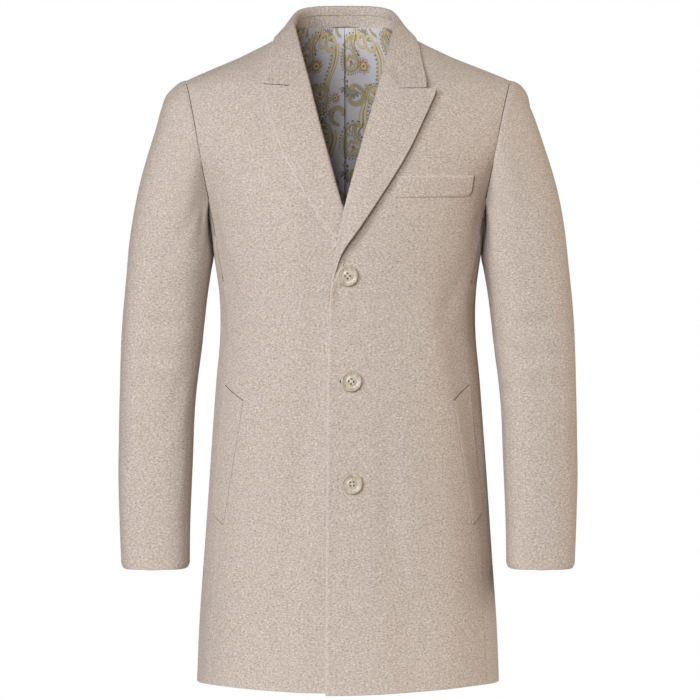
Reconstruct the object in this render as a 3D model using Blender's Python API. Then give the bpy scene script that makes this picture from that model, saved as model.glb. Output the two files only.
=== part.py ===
"""Winter coat: a thigh-length, single-breasted wool overcoat as a hollow, worn form.

Metres, +Z up, the front faces -Y. The wearer's left is +X. The origin lies between the
shoulders, level with the base of the neck, where the wearer carries the coat.
Every panel is a wall of cloth: a grid of points on the body or sleeve form and the same
grid moved in by the cloth's thickness.
"""
import bpy
import numpy as np

for old in list(bpy.data.objects):
    bpy.data.objects.remove(old, do_unlink=True)

# Cloth and seams
WALL = 0.0025            # coating cloth with its canvas
LAPEL_WALL = 0.0035      # two layers of coating
LEAF_WALL = 0.0030       # collar leaf
LINING_WALL = 0.0012
WELT_WALL = 0.0020
SEAM = 0.0003            # gap between two pieces at a seam
LAY = 0.0009             # clearance of a piece that lies on a panel
LAYER = WALL + 2 * SEAM  # depth of the under front below the top front
LINING_GAP = 0.0014      # clearance of the lining inside the back
LINING_DROP = 0.004      # the lining starts this far below the neck seam
PLEAT_TURN = 0.055       # angle by which one lining half laps over the other

# Body form
HEM = -0.885
ROUND = 2.4              # exponent of the oval sections, 2 is an ellipse
NECK_SHIFT = -0.005      # the neck opening sits this far to one side
NECK_FADE = (-0.45, -0.20)   # heights between which that shift comes in
NECK_REACH = 0.215       # distance from the centre where the shift ends
NECK_SIDE = 0.006        # height of the neck seam at the shoulder
NECK_BACK = 0.026        # height of the neck seam at the centre back

# Sections of the body from the hem up: height, half width, depth to front, depth to back
SECTIONS = np.array([
    (-0.885, 0.2080, 0.1500, 0.1500),
    (-0.800, 0.2045, 0.1490, 0.1485),
    (-0.715, 0.1985, 0.1475, 0.1455),
    (-0.630, 0.1925, 0.1460, 0.1420),
    (-0.550, 0.1872, 0.1450, 0.1385),
    (-0.475, 0.1818, 0.1435, 0.1345),
    (-0.410, 0.1765, 0.1420, 0.1320),
    (-0.350, 0.1770, 0.1430, 0.1305),
    (-0.295, 0.1840, 0.1455, 0.1300),
    (-0.245, 0.1905, 0.1460, 0.1310),
    (-0.200, 0.2060, 0.1400, 0.1320),
    (-0.155, 0.2340, 0.1280, 0.1310),
    (-0.112, 0.2510, 0.1100, 0.1275),
    (-0.084, 0.2500, 0.0960, 0.1230),
    (-0.068, 0.2400, 0.0880, 0.1190),
    (-0.057, 0.2225, 0.0815, 0.1160),
    (-0.046, 0.1975, 0.0745, 0.1120),
    (-0.036, 0.1730, 0.0680, 0.1080),
    (-0.026, 0.1490, 0.0610, 0.1035),
    (-0.016, 0.1280, 0.0540, 0.0985),
    (-0.006, 0.1080, 0.0460, 0.0930),
    (0.005, 0.0880, 0.0380, 0.0875),
    (0.016, 0.0740, 0.0330, 0.0825),
    (0.028, 0.0660, 0.0300, 0.0775),
])

# Soft folds of the body: angle from the front, height, half angle, half length, depth
BODY_FOLDS = np.array([
    (150, -0.800, 10, 0.170, -0.0060),
    (-146, -0.780, 11, 0.190, -0.0055),
    (112, -0.850, 9, 0.150, 0.0040),
    (-115, -0.850, 9, 0.140, 0.0040),
    (48, -0.840, 9, 0.130, 0.0035),
    (-52, -0.850, 10, 0.140, 0.0030),
    (30, -0.800, 8, 0.120, -0.0030),
    (-33, -0.820, 8, 0.120, -0.0025),
    (128, -0.330, 12, 0.050, -0.0050),
    (-128, -0.330, 12, 0.050, -0.0050),
    (76, -0.390, 9, 0.035, -0.0030),
    (-76, -0.385, 9, 0.035, -0.0030),
])

# Front edge and roll line of the top front: height, distance from the centre line
FRONT_EDGE = np.array([
    (-0.8850, -0.0300),
    (-0.6000, -0.0287),
    (-0.4500, -0.0272),
    (-0.3700, -0.0235),
    (-0.3240, -0.0189),
    (-0.2800, -0.0110),
    (-0.2360, 0.0003),
    (-0.1400, 0.0262),
    (-0.0455, 0.0515),
])

LAP_SIDE = (0.068, 0.038)    # distances between which the under front sinks below the top front
LAP_TOP = (-0.175, -0.215)   # heights between which it sinks

# Outer edge of the lapel, from its lower end up to the peak: height, distance from the centre
LAPEL_EDGE = np.array([
    (-0.3450, -0.0205),
    (-0.3250, -0.0138),
    (-0.3000, -0.0035),
    (-0.2774, 0.0133),
    (-0.2606, 0.0280),
    (-0.2344, 0.0455),
    (-0.1982, 0.0655),
    (-0.1540, 0.0864),
    (-0.0728, 0.1180),
])
GORGE = np.array([(0.0515, -0.0455), (0.0730, -0.0730), (0.1180, -0.0730)])
GORGE_BEND = 0.35        # share of the gorge that runs from the roll line to its bend
LAPEL_LOW = -0.322       # lower end of the top lapel
UNDER_LAPEL_LOW = -0.275  # the under lapel goes below the top front here
ROLL_GAP = 0.001         # under lapel clear of the top front's edge

# Neck seam on the front, from the gorge to the shoulder: height, angle from the front
NECK_FRONT = np.array([(-0.0455, 35.0), (-0.0300, 47.0), (-0.0120, 63.0), (NECK_SIDE, 80.0)])

# Side seams below the armhole: height, angle of the front seam, angle of the back seam
SIDE_SEAMS = np.array([
    (-0.885, 67.0, 113.0),
    (-0.660, 66.0, 113.0),
    (-0.480, 64.0, 112.0),
    (-0.410, 66.0, 111.0),
    (-0.300, 72.0, 107.0),
    (-0.215, 76.5, 104.8),
])

# Armhole: a rounded loop, seen from the side
ARM_TOP = -0.0575
ARM_BOTTOM = -0.2450
ARM_MIDDLE_Y = 0.002
ARM_HALF_Y = 0.077
ARM_ROUND = 2.4
LOOP_STEPS = 24          # points around the armhole and the sleeve
SIDE_STEP = 9            # loop step where the front meets the side panel
ARM_GAP = 0.0006         # sleeve head clear of the armhole edge

# Sleeve below its head: height, outer edge, inner edge, middle in depth, half depth
SLEEVE = np.array([
    (-0.304, 0.3036, 0.1862, 0.000, 0.072),
    (-0.359, 0.3087, 0.1945, -0.002, 0.069),
    (-0.414, 0.3118, 0.2003, -0.005, 0.066),
    (-0.497, 0.3137, 0.2100, -0.011, 0.061),
    (-0.580, 0.3150, 0.2133, -0.019, 0.056),
    (-0.662, 0.3125, 0.2163, -0.027, 0.051),
    (-0.729, 0.3095, 0.2168, -0.033, 0.048),
])
SLEEVE_ROUND = 2.2
HEAD_DIP = (86, 28)      # degrees below level at which the cloth leaves the armhole: under, top
HEAD_PULL = (0.055, 0.140)   # how far that direction holds: under, top
ARM_PULL = (0.070, 0.240)    # how far the arm's direction holds above the first ring: under, top
HEAD_SPREAD = 0.25       # forward and backward swell of the head
HEAD_LEAN = 0.02         # outward lean of the outer side at the first ring
HEAD_ROWS = 9
ARM_ROWS = 10
FRONT_SEAM_STEP = 10     # loop steps where top and under sleeve meet
BACK_SEAM_STEP = 17

# Soft folds of the sleeve: angle from the outer side, height, half angle, half length, depth
SLEEVE_FOLDS = np.array([
    (95, -0.395, 38, 0.013, -0.0035),
    (100, -0.435, 34, 0.014, -0.0040),
    (85, -0.475, 40, 0.013, -0.0025),
    (262, -0.420, 36, 0.022, 0.0030),
    (120, -0.345, 30, 0.016, -0.0025),
    (40, -0.560, 30, 0.030, -0.0020),
])

# Fold line of the collar from the centre back to the gorge
COLLAR_FOLD = np.array([
    (0.0000, 0.0700, 0.0515),
    (0.0375, 0.0640, 0.0503),
    (0.0620, 0.0438, 0.0435),
    (0.0665, 0.0160, 0.0300),
    (0.0640, -0.0180, 0.0110),
    (0.0580, -0.0460, -0.0170),
    (0.0515, -0.0720, -0.0455),
])
# Outer edge of the collar leaf from the centre back: angle from the front, height
LEAF_EDGE = np.array([
    (180.0, 0.0030),
    (150.0, 0.0010),
    (118.0, 0.0005),
    (90.0, 0.0025),
    (73.0, -0.0100),
    (60.0, -0.0380),
    (53.5, -0.0715),
])

LEAF_ROLL = 0.11         # share of the leaf's span that leaves the fold level
LEAF_HUG = 0.46          # how long the leaf keeps close to the stand before it spreads
LEAF_CORNER = 0.90       # share of the gorge covered by the leaf's end
STAND_RISE = 3           # grid steps from neck seam to fold

# Pockets: corners of the breast welt as distance and height, of the hip welt as angle and height
BREAST_WELT = np.array([[(0.0695, -0.1960), (0.1700, -0.1929)], [(0.0655, -0.2252), (0.1660, -0.2216)]])
HIP_WELT = np.array([[(53.0, -0.4967), (62.0, -0.4790)], [(62.0, -0.6634), (72.0, -0.6480)]])

# Buttons: distance from the centre line and height of each
BUTTONS = np.array([(0.0020, -0.3293), (0.0045, -0.4697), (0.0056, -0.6059)])
BUTTON_RADIUS = 0.01375
BUTTON_SIDES = 24
# Turned profile of a button: share of the radius, height
BUTTON_PROFILE = np.array([
    (0.90, 0.0000),
    (1.00, 0.0016),
    (0.97, 0.0034),
    (0.86, 0.0042),
    (0.70, 0.0034),
    (0.45, 0.0025),
])

# Colours as seen in soft light
WOOL = (0.56, 0.47, 0.40)
SATIN = (0.46, 0.44, 0.46)
HORN = (0.60, 0.53, 0.43)


def along(table, place):
    """Smooth curve through a table's rows; place 0 is the first row, 1 the next."""
    place = np.clip(np.asarray(place, float), 0, len(table) - 1)
    index = np.minimum(place.astype(int), len(table) - 2)
    part = (place - index)[..., None]
    slope = np.gradient(table, axis=0)
    start = (2 * part ** 3 - 3 * part ** 2 + 1) * table[index]
    start = start + (part ** 3 - 2 * part ** 2 + part) * slope[index]
    end = (3 * part ** 2 - 2 * part ** 3) * table[index + 1]
    return start + end + (part ** 3 - part ** 2) * slope[index + 1]


def read(table, key, column=1):
    """Value of a column where the table's first column, which rises, has the given key."""
    fine = along(table, np.linspace(0, len(table) - 1, 600))
    return np.interp(key, fine[:, 0], fine[:, column])


def place_of(z):
    """Place in the section table at a height."""
    fine = np.linspace(0, len(SECTIONS) - 1, 4000)
    return np.interp(z, along(SECTIONS, fine)[:, 0], fine)


def ease(x):
    """Soft step from 0 to 1."""
    x = np.clip(x, 0, 1)
    return x * x * (3 - 2 * x)


def power(x, exponent):
    """Power that keeps the sign."""
    return np.sign(x) * np.abs(x) ** exponent


def bumps(table, angle, z):
    """Sum of soft troughs and ridges, one for each row of a fold table."""
    total = np.zeros(np.broadcast(angle, z).shape)
    for degrees, height, half_angle, half_length, depth in table:
        turn = np.angle(np.exp(1j * (angle - np.radians(degrees))))
        share = (turn / np.radians(half_angle)) ** 2 + ((z - height) / half_length) ** 2
        total = total + depth * np.exp(-share)
    return total


def form(angle, place):
    """Body form: an oval section at each place, with the folds added to its reach."""
    z, half, front, back = np.moveaxis(along(SECTIONS, place), -1, 0)
    depth = np.where(np.cos(angle) > 0, front, back)
    reach = np.abs(np.sin(angle) / half) ** ROUND + np.abs(np.cos(angle) / depth) ** ROUND
    reach = reach ** (-1 / ROUND) + bumps(BODY_FOLDS, angle, z)
    return np.stack([reach * np.sin(angle), -reach * np.cos(angle), z], -1)


def normals(surface, u, v, step=0.002):
    """Unit normals of a surface from small steps along its two parameters."""
    along_u = surface(u + step, v) - surface(u - step, v)
    along_v = surface(u, v + step) - surface(u, v - step)
    normal = np.cross(along_u, along_v)
    return normal / np.linalg.norm(normal, axis=-1, keepdims=True)


def body(angle, place, lift=0.0):
    """Point of the body form, moved out by a lift."""
    angle, place = np.broadcast_arrays(angle, place)
    lift = np.broadcast_to(lift, angle.shape)[..., None]
    return form(angle, place) + lift * normals(form, angle, place)


def front_angle(x, z):
    """Angle of the front surface's point at a distance from the centre line and a height."""
    half, front = np.moveaxis(along(SECTIONS, place_of(z)), -1, 0)[1:3]
    share = np.clip(np.abs(x / half), 0, 0.999)
    return np.arctan2(x, front * (1 - share ** ROUND) ** (1 / ROUND))


def clear_of_body(points, clearance):
    """Points moved out along the body's normal wherever they come closer than a clearance."""
    for _ in range(4):
        angle = np.arctan2(points[..., 0], -points[..., 1])
        place = place_of(points[..., 2])
        normal = normals(form, angle, place)
        height = np.sum((points - form(angle, place)) * normal, axis=-1)
        points = points + np.clip(clearance - height, 0, None)[..., None] * normal
    return points


def settle(points):
    """The neck opening's small shift to one side, fading out below and at the shoulders."""
    x, z = points[..., 0], points[..., 2]
    rise = ease((z - NECK_FADE[0]) / (NECK_FADE[1] - NECK_FADE[0]))
    shift = NECK_SHIFT * rise * np.clip(1 - (x / NECK_REACH) ** 2, 0, 1)
    return points + np.stack([shift, np.zeros_like(x), np.zeros_like(x)], -1)


def finish(name, colour, roughness):
    """Plain material of one piece."""
    material = bpy.data.materials.new(name)
    material.use_nodes = True
    shader = material.node_tree.nodes["Principled BSDF"]
    shader.inputs["Base Color"].default_value = (*colour, 1)
    shader.inputs["Roughness"].default_value = roughness
    shader.inputs["Metallic"].default_value = 0.0
    return material


def add_mesh(name, points, triangles, colour, roughness):
    """Object from points and triangles, with its faces turned out."""
    points = settle(points)
    corners = points[triangles]
    volume = np.einsum("ij,ij->", corners[:, 0], np.cross(corners[:, 1], corners[:, 2]))
    if volume < 0:
        triangles = triangles[:, ::-1]
    mesh = bpy.data.meshes.new(name)
    mesh.from_pydata(points.tolist(), [], triangles.tolist())
    mesh.shade_smooth()
    mesh.set_sharp_from_angle(angle=np.radians(40))
    mesh.materials.append(finish(name, colour, roughness))
    bpy.context.scene.collection.objects.link(bpy.data.objects.new(name, mesh))


def add_wall(name, outer, inner, colour=WOOL, roughness=0.9, mirrored=False):
    """Wall of cloth between two grids of points, closed along its rim.

    Each grid square is split along its shorter diagonal.
    """
    rows, columns = outer.shape[:2]
    index = np.arange(rows * columns).reshape(rows, columns)
    a, b, c, d = index[:-1, :-1], index[:-1, 1:], index[1:, 1:], index[1:, :-1]
    falling = np.linalg.norm(outer[:-1, :-1] - outer[1:, 1:], axis=-1)
    rising = np.linalg.norm(outer[:-1, 1:] - outer[1:, :-1], axis=-1)
    turned = (rising < falling)[..., None]
    skin = np.concatenate([
        np.where(turned, np.stack([a, b, d], -1), np.stack([a, b, c], -1)).reshape(-1, 3),
        np.where(turned, np.stack([b, c, d], -1), np.stack([a, c, d], -1)).reshape(-1, 3),
    ])
    rim = np.concatenate([index[0, :-1], index[:-1, -1], index[-1, :0:-1], index[:0:-1, 0]])
    ahead = np.roll(rim, -1)
    under = rows * columns
    edge = np.concatenate([
        np.stack([ahead, rim, rim + under], -1),
        np.stack([ahead, rim + under, ahead + under], -1),
    ])
    points = np.concatenate([outer.reshape(-1, 3), inner.reshape(-1, 3)])
    if mirrored:
        points = points * (-1, 1, 1)
    triangles = np.concatenate([skin, skin[:, ::-1] + under, edge])
    add_mesh(name, points, triangles, colour, roughness)


def loop_point(turn):
    """Armhole seen from the side: depth and height; turn 0 is the top, 90 degrees the front."""
    middle, half = (ARM_TOP + ARM_BOTTOM) / 2, (ARM_TOP - ARM_BOTTOM) / 2
    y = ARM_MIDDLE_Y - ARM_HALF_Y * power(np.sin(turn), 2 / ARM_ROUND)
    z = middle + half * power(np.cos(turn), 2 / ARM_ROUND)
    return y, z


def loop_angle(turn):
    """Body angle and place of a point of the armhole."""
    y, z = loop_point(turn)
    half, front, back = np.moveaxis(along(SECTIONS, place_of(z)), -1, 0)[1:4]
    depth = np.where(y < 0, front, back)
    x = half * (1 - np.abs(y / depth) ** ROUND) ** (1 / ROUND)
    return np.arctan2(x, -y), place_of(z)


def side_seam_gap(z):
    """Angle that takes half a seam's gap off a panel at a height."""
    return 0.6 * SEAM / along(SECTIONS, place_of(z))[..., 1]


# Heights shared by the fronts and backs: skirt, armhole and shoulder
LOOP_TURN = 2 * np.pi / LOOP_STEPS
FRONT_TURNS = LOOP_TURN * np.arange(SIDE_STEP, -1, -1)
SEAM_TOP = loop_point(FRONT_TURNS[:1])[1]
SKIRT_Z = np.linspace(HEM, SEAM_TOP[0], 15)
SHOULDER_Z = np.linspace(ARM_TOP, NECK_SIDE, 7)
PANEL_Z = np.concatenate([SKIRT_Z, loop_point(FRONT_TURNS[1:])[1], SHOULDER_Z[1:]])
FRONT_COLUMNS = 12
BACK_COLUMNS = 10
SIDE_COLUMNS = 7


def outer_limit(back):
    """Angle where a front or back ends on each row: side seam, armhole, then shoulder seam."""
    side = np.radians(read(SIDE_SEAMS, SKIRT_Z[:-1], 2 if back else 1))
    turns = -FRONT_TURNS if back else FRONT_TURNS
    armhole = loop_angle(turns)[0]
    shoulder = np.full(len(SHOULDER_Z) - 1, np.pi / 2)
    limit = np.concatenate([side, armhole, shoulder])
    gap = side_seam_gap(PANEL_Z)
    gap[len(SKIRT_Z):len(SKIRT_Z) + SIDE_STEP - 1] = 0
    return limit + gap if back else limit - gap


def front_limit():
    """Angle where a front begins on each row: front edge, roll line, then neck seam."""
    edge = front_angle(read(FRONT_EDGE, PANEL_Z), PANEL_Z)
    neck = np.radians(read(NECK_FRONT, PANEL_Z))
    return np.where(PANEL_Z > NECK_FRONT[0, 0], neck, edge)


def under_push(x, z):
    """How far the under front lies below the top front, fading out beside the closing."""
    beside = ease((x - LAP_SIDE[0]) / (LAP_SIDE[1] - LAP_SIDE[0]))
    below = ease((z - LAP_TOP[0]) / (LAP_TOP[1] - LAP_TOP[0]))
    return LAYER * beside * below


def front(name, under):
    """One front, from its edge to the side seam and from the hem to the shoulder."""
    share = np.linspace(0, 1, FRONT_COLUMNS)
    start, end = front_limit()[:, None], outer_limit(False)[:, None]
    angle = start + (end - start) * share
    place = np.broadcast_to(place_of(PANEL_Z)[:, None], angle.shape)
    push = under_push(form(angle, place)[..., 0], PANEL_Z[:, None]) if under else 0.0
    add_wall(name, body(angle, place, -push), body(angle, place, -push - WALL), mirrored=under)


def back_grid(columns):
    """Angles and heights of a back panel, from the centre back to its outer limit."""
    share = np.linspace(0, 1, columns)
    start = np.pi - side_seam_gap(PANEL_Z)[:, None]
    angle = start + (outer_limit(True)[:, None] - start) * share
    rise = ease((PANEL_Z[:, None] - ARM_TOP) / (NECK_SIDE - ARM_TOP))
    height = PANEL_Z[:, None] + rise * (NECK_BACK - NECK_SIDE) * np.cos(angle) ** 2
    return angle, height


def back(name, mirrored):
    """One back, from the centre seam to the side seam, armhole and shoulder seam."""
    angle, height = back_grid(BACK_COLUMNS)
    place = place_of(height)
    add_wall(name, body(angle, place), body(angle, place, -WALL), mirrored=mirrored)


def side(name, mirrored):
    """One side panel, from hem to armhole, between the two side seams."""
    turns = LOOP_TURN * np.linspace(SIDE_STEP, LOOP_STEPS - SIDE_STEP, SIDE_COLUMNS)
    top_angle, top_place = loop_angle(turns)
    top_z = along(SECTIONS, top_place)[:, 0]
    height = HEM + (SKIRT_Z[:, None] - HEM) * (top_z - HEM) / (SKIRT_Z[-1] - HEM)
    gap = side_seam_gap(SKIRT_Z)
    start = np.radians(read(SIDE_SEAMS, SKIRT_Z, 1))
    end = np.radians(read(SIDE_SEAMS, SKIRT_Z, 2))
    start[-1], end[-1] = top_angle[0], top_angle[-1]
    share = np.linspace(0, 1, SIDE_COLUMNS)
    start, end = (start + gap)[:, None], (end - gap)[:, None]
    angle = start + (end - start) * share
    near_top = ease((SKIRT_Z[:, None] + 0.40) / (SKIRT_Z[-1] + 0.40))
    angle[:, 1:-1] += (near_top * (top_angle - angle[-1]))[:, 1:-1]
    place = place_of(height)
    add_wall(name, body(angle, place), body(angle, place, -WALL), mirrored=mirrored)


def sleeve_form(turn, row):
    """Sleeve: a curved head from the armhole to the upper arm, then oval rings to the cuff."""
    turn, row = np.broadcast_arrays(turn, row)
    ring = np.clip((row - HEAD_ROWS) / ARM_ROWS, 0, 1) * (len(SLEEVE) - 1)
    z, outer, inner, middle, half = np.moveaxis(along(SLEEVE, ring), -1, 0)
    oval = 2 / SLEEVE_ROUND
    x = (outer + inner) / 2 + (outer - inner) / 2 * power(np.cos(turn), oval)
    arm = np.stack([x, middle - half * power(np.sin(turn), oval), z], -1)
    start = form(*loop_angle(turn)) + (ARM_GAP, 0, 0)
    part = np.clip(row / HEAD_ROWS, 0, 1)[..., None]
    top = (1 + np.cos(turn)) / 2
    dip = np.radians(HEAD_DIP[0] + (HEAD_DIP[1] - HEAD_DIP[0]) * top)
    leave = np.stack([np.cos(dip), -HEAD_SPREAD * np.sin(turn), -np.sin(dip)], -1)
    leave = leave * (HEAD_PULL[0] + (HEAD_PULL[1] - HEAD_PULL[0]) * top)[..., None]
    drop = ARM_PULL[0] + (ARM_PULL[1] - ARM_PULL[0]) * top
    meet = np.stack([HEAD_LEAN * top, np.zeros_like(top), -drop], -1)
    head = (2 * part ** 3 - 3 * part ** 2 + 1) * start + (part ** 3 - 2 * part ** 2 + part) * leave
    head = head + (3 * part ** 2 - 2 * part ** 3) * arm + (part ** 3 - part ** 2) * meet
    return np.where(row[..., None] < HEAD_ROWS, head, arm)


def sleeve_wall(turn, row, depth):
    """Point of the sleeve, folds included, moved in by a depth; flat at the armhole edge."""
    normal = normals(sleeve_form, turn, row)
    outward = np.maximum(normal[..., 0], 0) * (1 - ease(row / 2))
    normal = normal - outward[..., None] * (1, 0, 0)
    normal = normal / np.linalg.norm(normal, axis=-1, keepdims=True)
    points = clear_of_body(sleeve_form(turn, row), ARM_GAP)
    lift = bumps(SLEEVE_FOLDS, turn, points[..., 2]) * ease((row - HEAD_ROWS + 2) / 2)
    return points + (lift - depth)[..., None] * normal


def sleeve(name, first, last, mirrored):
    """Top or under sleeve, between two loop steps."""
    turn = LOOP_TURN * np.arange(first, last + 1).astype(float)
    gap = 0.6 * SEAM / SLEEVE[-1, 4]
    turn[0] += gap
    turn[-1] -= gap
    row = np.arange(HEAD_ROWS + ARM_ROWS + 1).astype(float)
    turn, row = np.meshgrid(turn, row)
    add_wall(name, sleeve_wall(turn, row, 0.0), sleeve_wall(turn, row, WALL), mirrored=mirrored)


def neck_seam(share):
    """Neck seam from the centre back, share 0, over the shoulder to the gorge, share 1."""
    back_part = np.clip(share / 0.5, 0, 1)
    front_part = np.clip((share - 0.5) / 0.5, 0, 1)
    angle = np.pi - back_part * np.pi / 2
    back_z = NECK_SIDE + (NECK_BACK - NECK_SIDE) * np.cos(angle) ** 2
    down = np.clip((front_part - 0.12) / 0.88, 0, 1)
    front_z = NECK_SIDE + (NECK_FRONT[0, 0] - NECK_SIDE) * down
    shoulder = np.radians(10) * np.clip(1 - front_part / 0.12, 0, 1)
    front_turn = np.radians(read(NECK_FRONT, front_z)) + shoulder
    height = np.where(share < 0.5, back_z, front_z)
    return np.where(share < 0.5, angle, front_turn), place_of(height)


def collar_fold(share):
    """Fold line of the collar from the centre back, share 0, to the gorge, share 1."""
    return along(COLLAR_FOLD, share * (len(COLLAR_FOLD) - 1))


def both_sides(half):
    """Whole collar grid from one half, whose first column is the centre back."""
    other = half[:, :0:-1] * (-1, 1, 1)
    return np.concatenate([other, half], axis=1)


def grid_normals(points):
    """Unit normals of a grid of points from its neighbours."""
    normal = np.cross(np.gradient(points, axis=1), np.gradient(points, axis=0))
    return normal / np.linalg.norm(normal, axis=-1, keepdims=True)


def collar_stand():
    """Band from the neck seam up to the fold, low at its two front ends."""
    down = (NECK_SIDE - SHOULDER_Z[:2:-1]) / (NECK_SIDE - NECK_FRONT[0, 0])
    share = np.concatenate([np.linspace(0, 0.5, 8), 0.56 + 0.44 * down])
    base = form(*neck_seam(share))
    into_neck = np.cross(normals(form, *neck_seam(share)), np.gradient(base, axis=0))
    into_neck = into_neck / np.linalg.norm(into_neck, axis=-1, keepdims=True)
    base = base + 3 * SEAM * into_neck * np.sign(into_neck[:1, 2:])
    top = collar_fold(share)
    rise = np.linspace(0, 1, STAND_RISE + 1)[:, None, None]
    outer = both_sides(base + (top - base) * rise)
    normal = grid_normals(outer)
    normal = normal * np.sign(normal[1, len(share) - 1, 1])
    add_wall("collar_stand", outer, outer - WALL * normal)


def gorge(share):
    """Gorge line from the roll line to the peak, with its bend: distance and height."""
    keys = np.array([0, GORGE_BEND, 1])
    return np.interp(share, keys, GORGE[:, 0]), np.interp(share, keys, GORGE[:, 1])


def collar_leaf():
    """Leaf from the fold, curving over the stand, to its edge on the shoulders and back."""
    share = np.concatenate([np.linspace(0, 0.86, 13), np.linspace(0.90, 1, 4)])
    fold = collar_fold(share)
    edge_angle, edge_z = np.moveaxis(along(LEAF_EDGE, share * (len(LEAF_EDGE) - 1)), -1, 0)
    edge_angle, edge_place = np.radians(edge_angle), place_of(edge_z)
    lift = LAY + LEAF_WALL
    edge = body(edge_angle, edge_place, lift)
    chest = front_angle(fold[:, 0], fold[:, 2])
    turned = ease((share - 0.45) / 0.5)[:, None]
    up = (1 - turned) * (0, 0, 1) + turned * normals(form, chest, place_of(fold[:, 2]))
    up = up / np.linalg.norm(up, axis=-1, keepdims=True)
    out = edge - fold
    out = out - up * np.sum(out * up, axis=-1, keepdims=True)
    out = out / np.linalg.norm(out, axis=-1, keepdims=True)
    span = np.linalg.norm(edge - fold, axis=-1, keepdims=True)
    first = fold + up * lift
    second = first + out * span * LEAF_ROLL
    third = edge + (second - edge) * LEAF_HUG
    part = np.array([0, 0.13, 0.30, 0.52, 0.76, 1])[:, None, None]
    curve = (1 - part) ** 3 * first + 3 * (1 - part) ** 2 * part * second
    curve = curve + 3 * (1 - part) * part ** 2 * third + part ** 3 * edge
    across = np.array([0, 0.17, GORGE_BEND, 0.52, 0.70, LEAF_CORNER])
    end_x, end_z = gorge(across)
    end_z = end_z + 3 * SEAM
    end = body(front_angle(end_x, end_z), place_of(end_z), lift)[:, None, :]
    closing = ease((share - 0.80) / 0.2)[:, None]
    half = clear_of_body(curve * (1 - closing) + end * closing, lift)
    outer = both_sides(half)
    normal = grid_normals(outer)
    normal = normal * np.sign(normal[3, len(share) - 1, 1])
    add_wall("collar_leaf", outer, outer - LEAF_WALL * normal)


def lapel(name, under):
    """Peak lapel on its front, from the roll line to the outer edge and up to the gorge."""
    low = UNDER_LAPEL_LOW if under else LAPEL_LOW
    part = np.linspace(0, 1, 15)[:, None]
    share = np.array([0, 0.17, GORGE_BEND, 0.58, 0.80, 1])
    top_x, top_z = gorge(share)
    inner_z = low + (GORGE[0, 1] - low) * part
    outer_z = low + (GORGE[2, 1] - low) * part
    inner_x = read(FRONT_EDGE, inner_z)
    inner_x = np.abs(inner_x) + ROLL_GAP if under else inner_x
    outer_x = read(LAPEL_EDGE, outer_z)
    x = inner_x + (outer_x - inner_x) * share
    z = inner_z + (outer_z - inner_z) * share
    bend = ease((part - 0.55) / 0.45) ** 2
    x = x + bend * (top_x - x[-1])
    z = z + bend * (top_z - z[-1])
    base = LAY - (under_push(x, z) if under else 0.0)
    angle, place = front_angle(x, z), place_of(z)
    outer = body(angle, place, base + LAPEL_WALL)
    add_wall(name, outer, body(angle, place, base), mirrored=under)


def patch(corners, columns, rows):
    """Grid of table values between four corners."""
    across = np.linspace(0, 1, columns)[None, :, None]
    down = np.linspace(0, 1, rows)[:, None, None]
    top = corners[0, 0] + (corners[0, 1] - corners[0, 0]) * across
    bottom = corners[1, 0] + (corners[1, 1] - corners[1, 0]) * across
    return np.moveaxis(top + (bottom - top) * down, -1, 0)


def welt(name, angle, place, mirrored):
    """Strip of double cloth that lies on the front over a pocket's mouth."""
    outer = body(angle, place, LAY + WELT_WALL)
    add_wall(name, outer, body(angle, place, LAY), mirrored=mirrored)


def button(name, x, z):
    """Turned button with a raised rim and a dished middle, flat against the front."""
    angle, place = front_angle(x, z), place_of(z)
    axis = normals(form, angle, place)
    across = np.cross((0, 0, 1), axis)
    across = across / np.linalg.norm(across)
    upward = np.cross(axis, across)
    seat = form(angle, place) + axis * 2 * SEAM
    turn = 2 * np.pi * np.arange(BUTTON_SIDES)[None, :, None] / BUTTON_SIDES
    radius = (BUTTON_PROFILE[:, 0] * BUTTON_RADIUS)[:, None, None]
    rings = seat + radius * (np.cos(turn) * across + np.sin(turn) * upward)
    rings = rings + BUTTON_PROFILE[:, 1][:, None, None] * axis
    centre_top = seat + axis * BUTTON_PROFILE[-1, 1]
    points = np.concatenate([rings.reshape(-1, 3), seat[None], centre_top[None]])
    index = np.arange(rings.shape[0] * BUTTON_SIDES).reshape(rings.shape[0], BUTTON_SIDES)
    ahead = np.roll(index, -1, axis=1)
    bottom, top = len(points) - 2, len(points) - 1
    triangles = np.concatenate([
        np.stack([index[:-1], ahead[:-1], ahead[1:]], -1).reshape(-1, 3),
        np.stack([index[:-1], ahead[1:], index[1:]], -1).reshape(-1, 3),
        np.stack([ahead[0], index[0], np.full(BUTTON_SIDES, bottom)], -1),
        np.stack([index[-1], ahead[-1], np.full(BUTTON_SIDES, top)], -1),
    ])
    add_mesh(name, points, triangles, HORN, 0.35)


def lining(name, pleat, mirrored):
    """Half of the back lining, inside the back; one half laps over the other as a pleat."""
    angle, height = back_grid(BACK_COLUMNS)
    angle, height = angle[1:, :-3], height[1:, :-3]
    height = height - LINING_DROP * ease((height + 0.05) / 0.05)
    depth = np.full(angle.shape, -WALL - LINING_GAP)
    if pleat:
        angle = np.concatenate([angle[:, :1] + PLEAT_TURN, angle], axis=1)
        height = np.concatenate([height[:, :1], height], axis=1)
        depth = np.concatenate([depth[:, :1], depth], axis=1)
        depth[:, :2] -= LINING_WALL + 3 * SEAM
    place = place_of(height)
    outer = body(angle, place, depth)
    inner = body(angle, place, depth - LINING_WALL)
    add_wall(name, outer, inner, SATIN, 0.5, mirrored)


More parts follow.
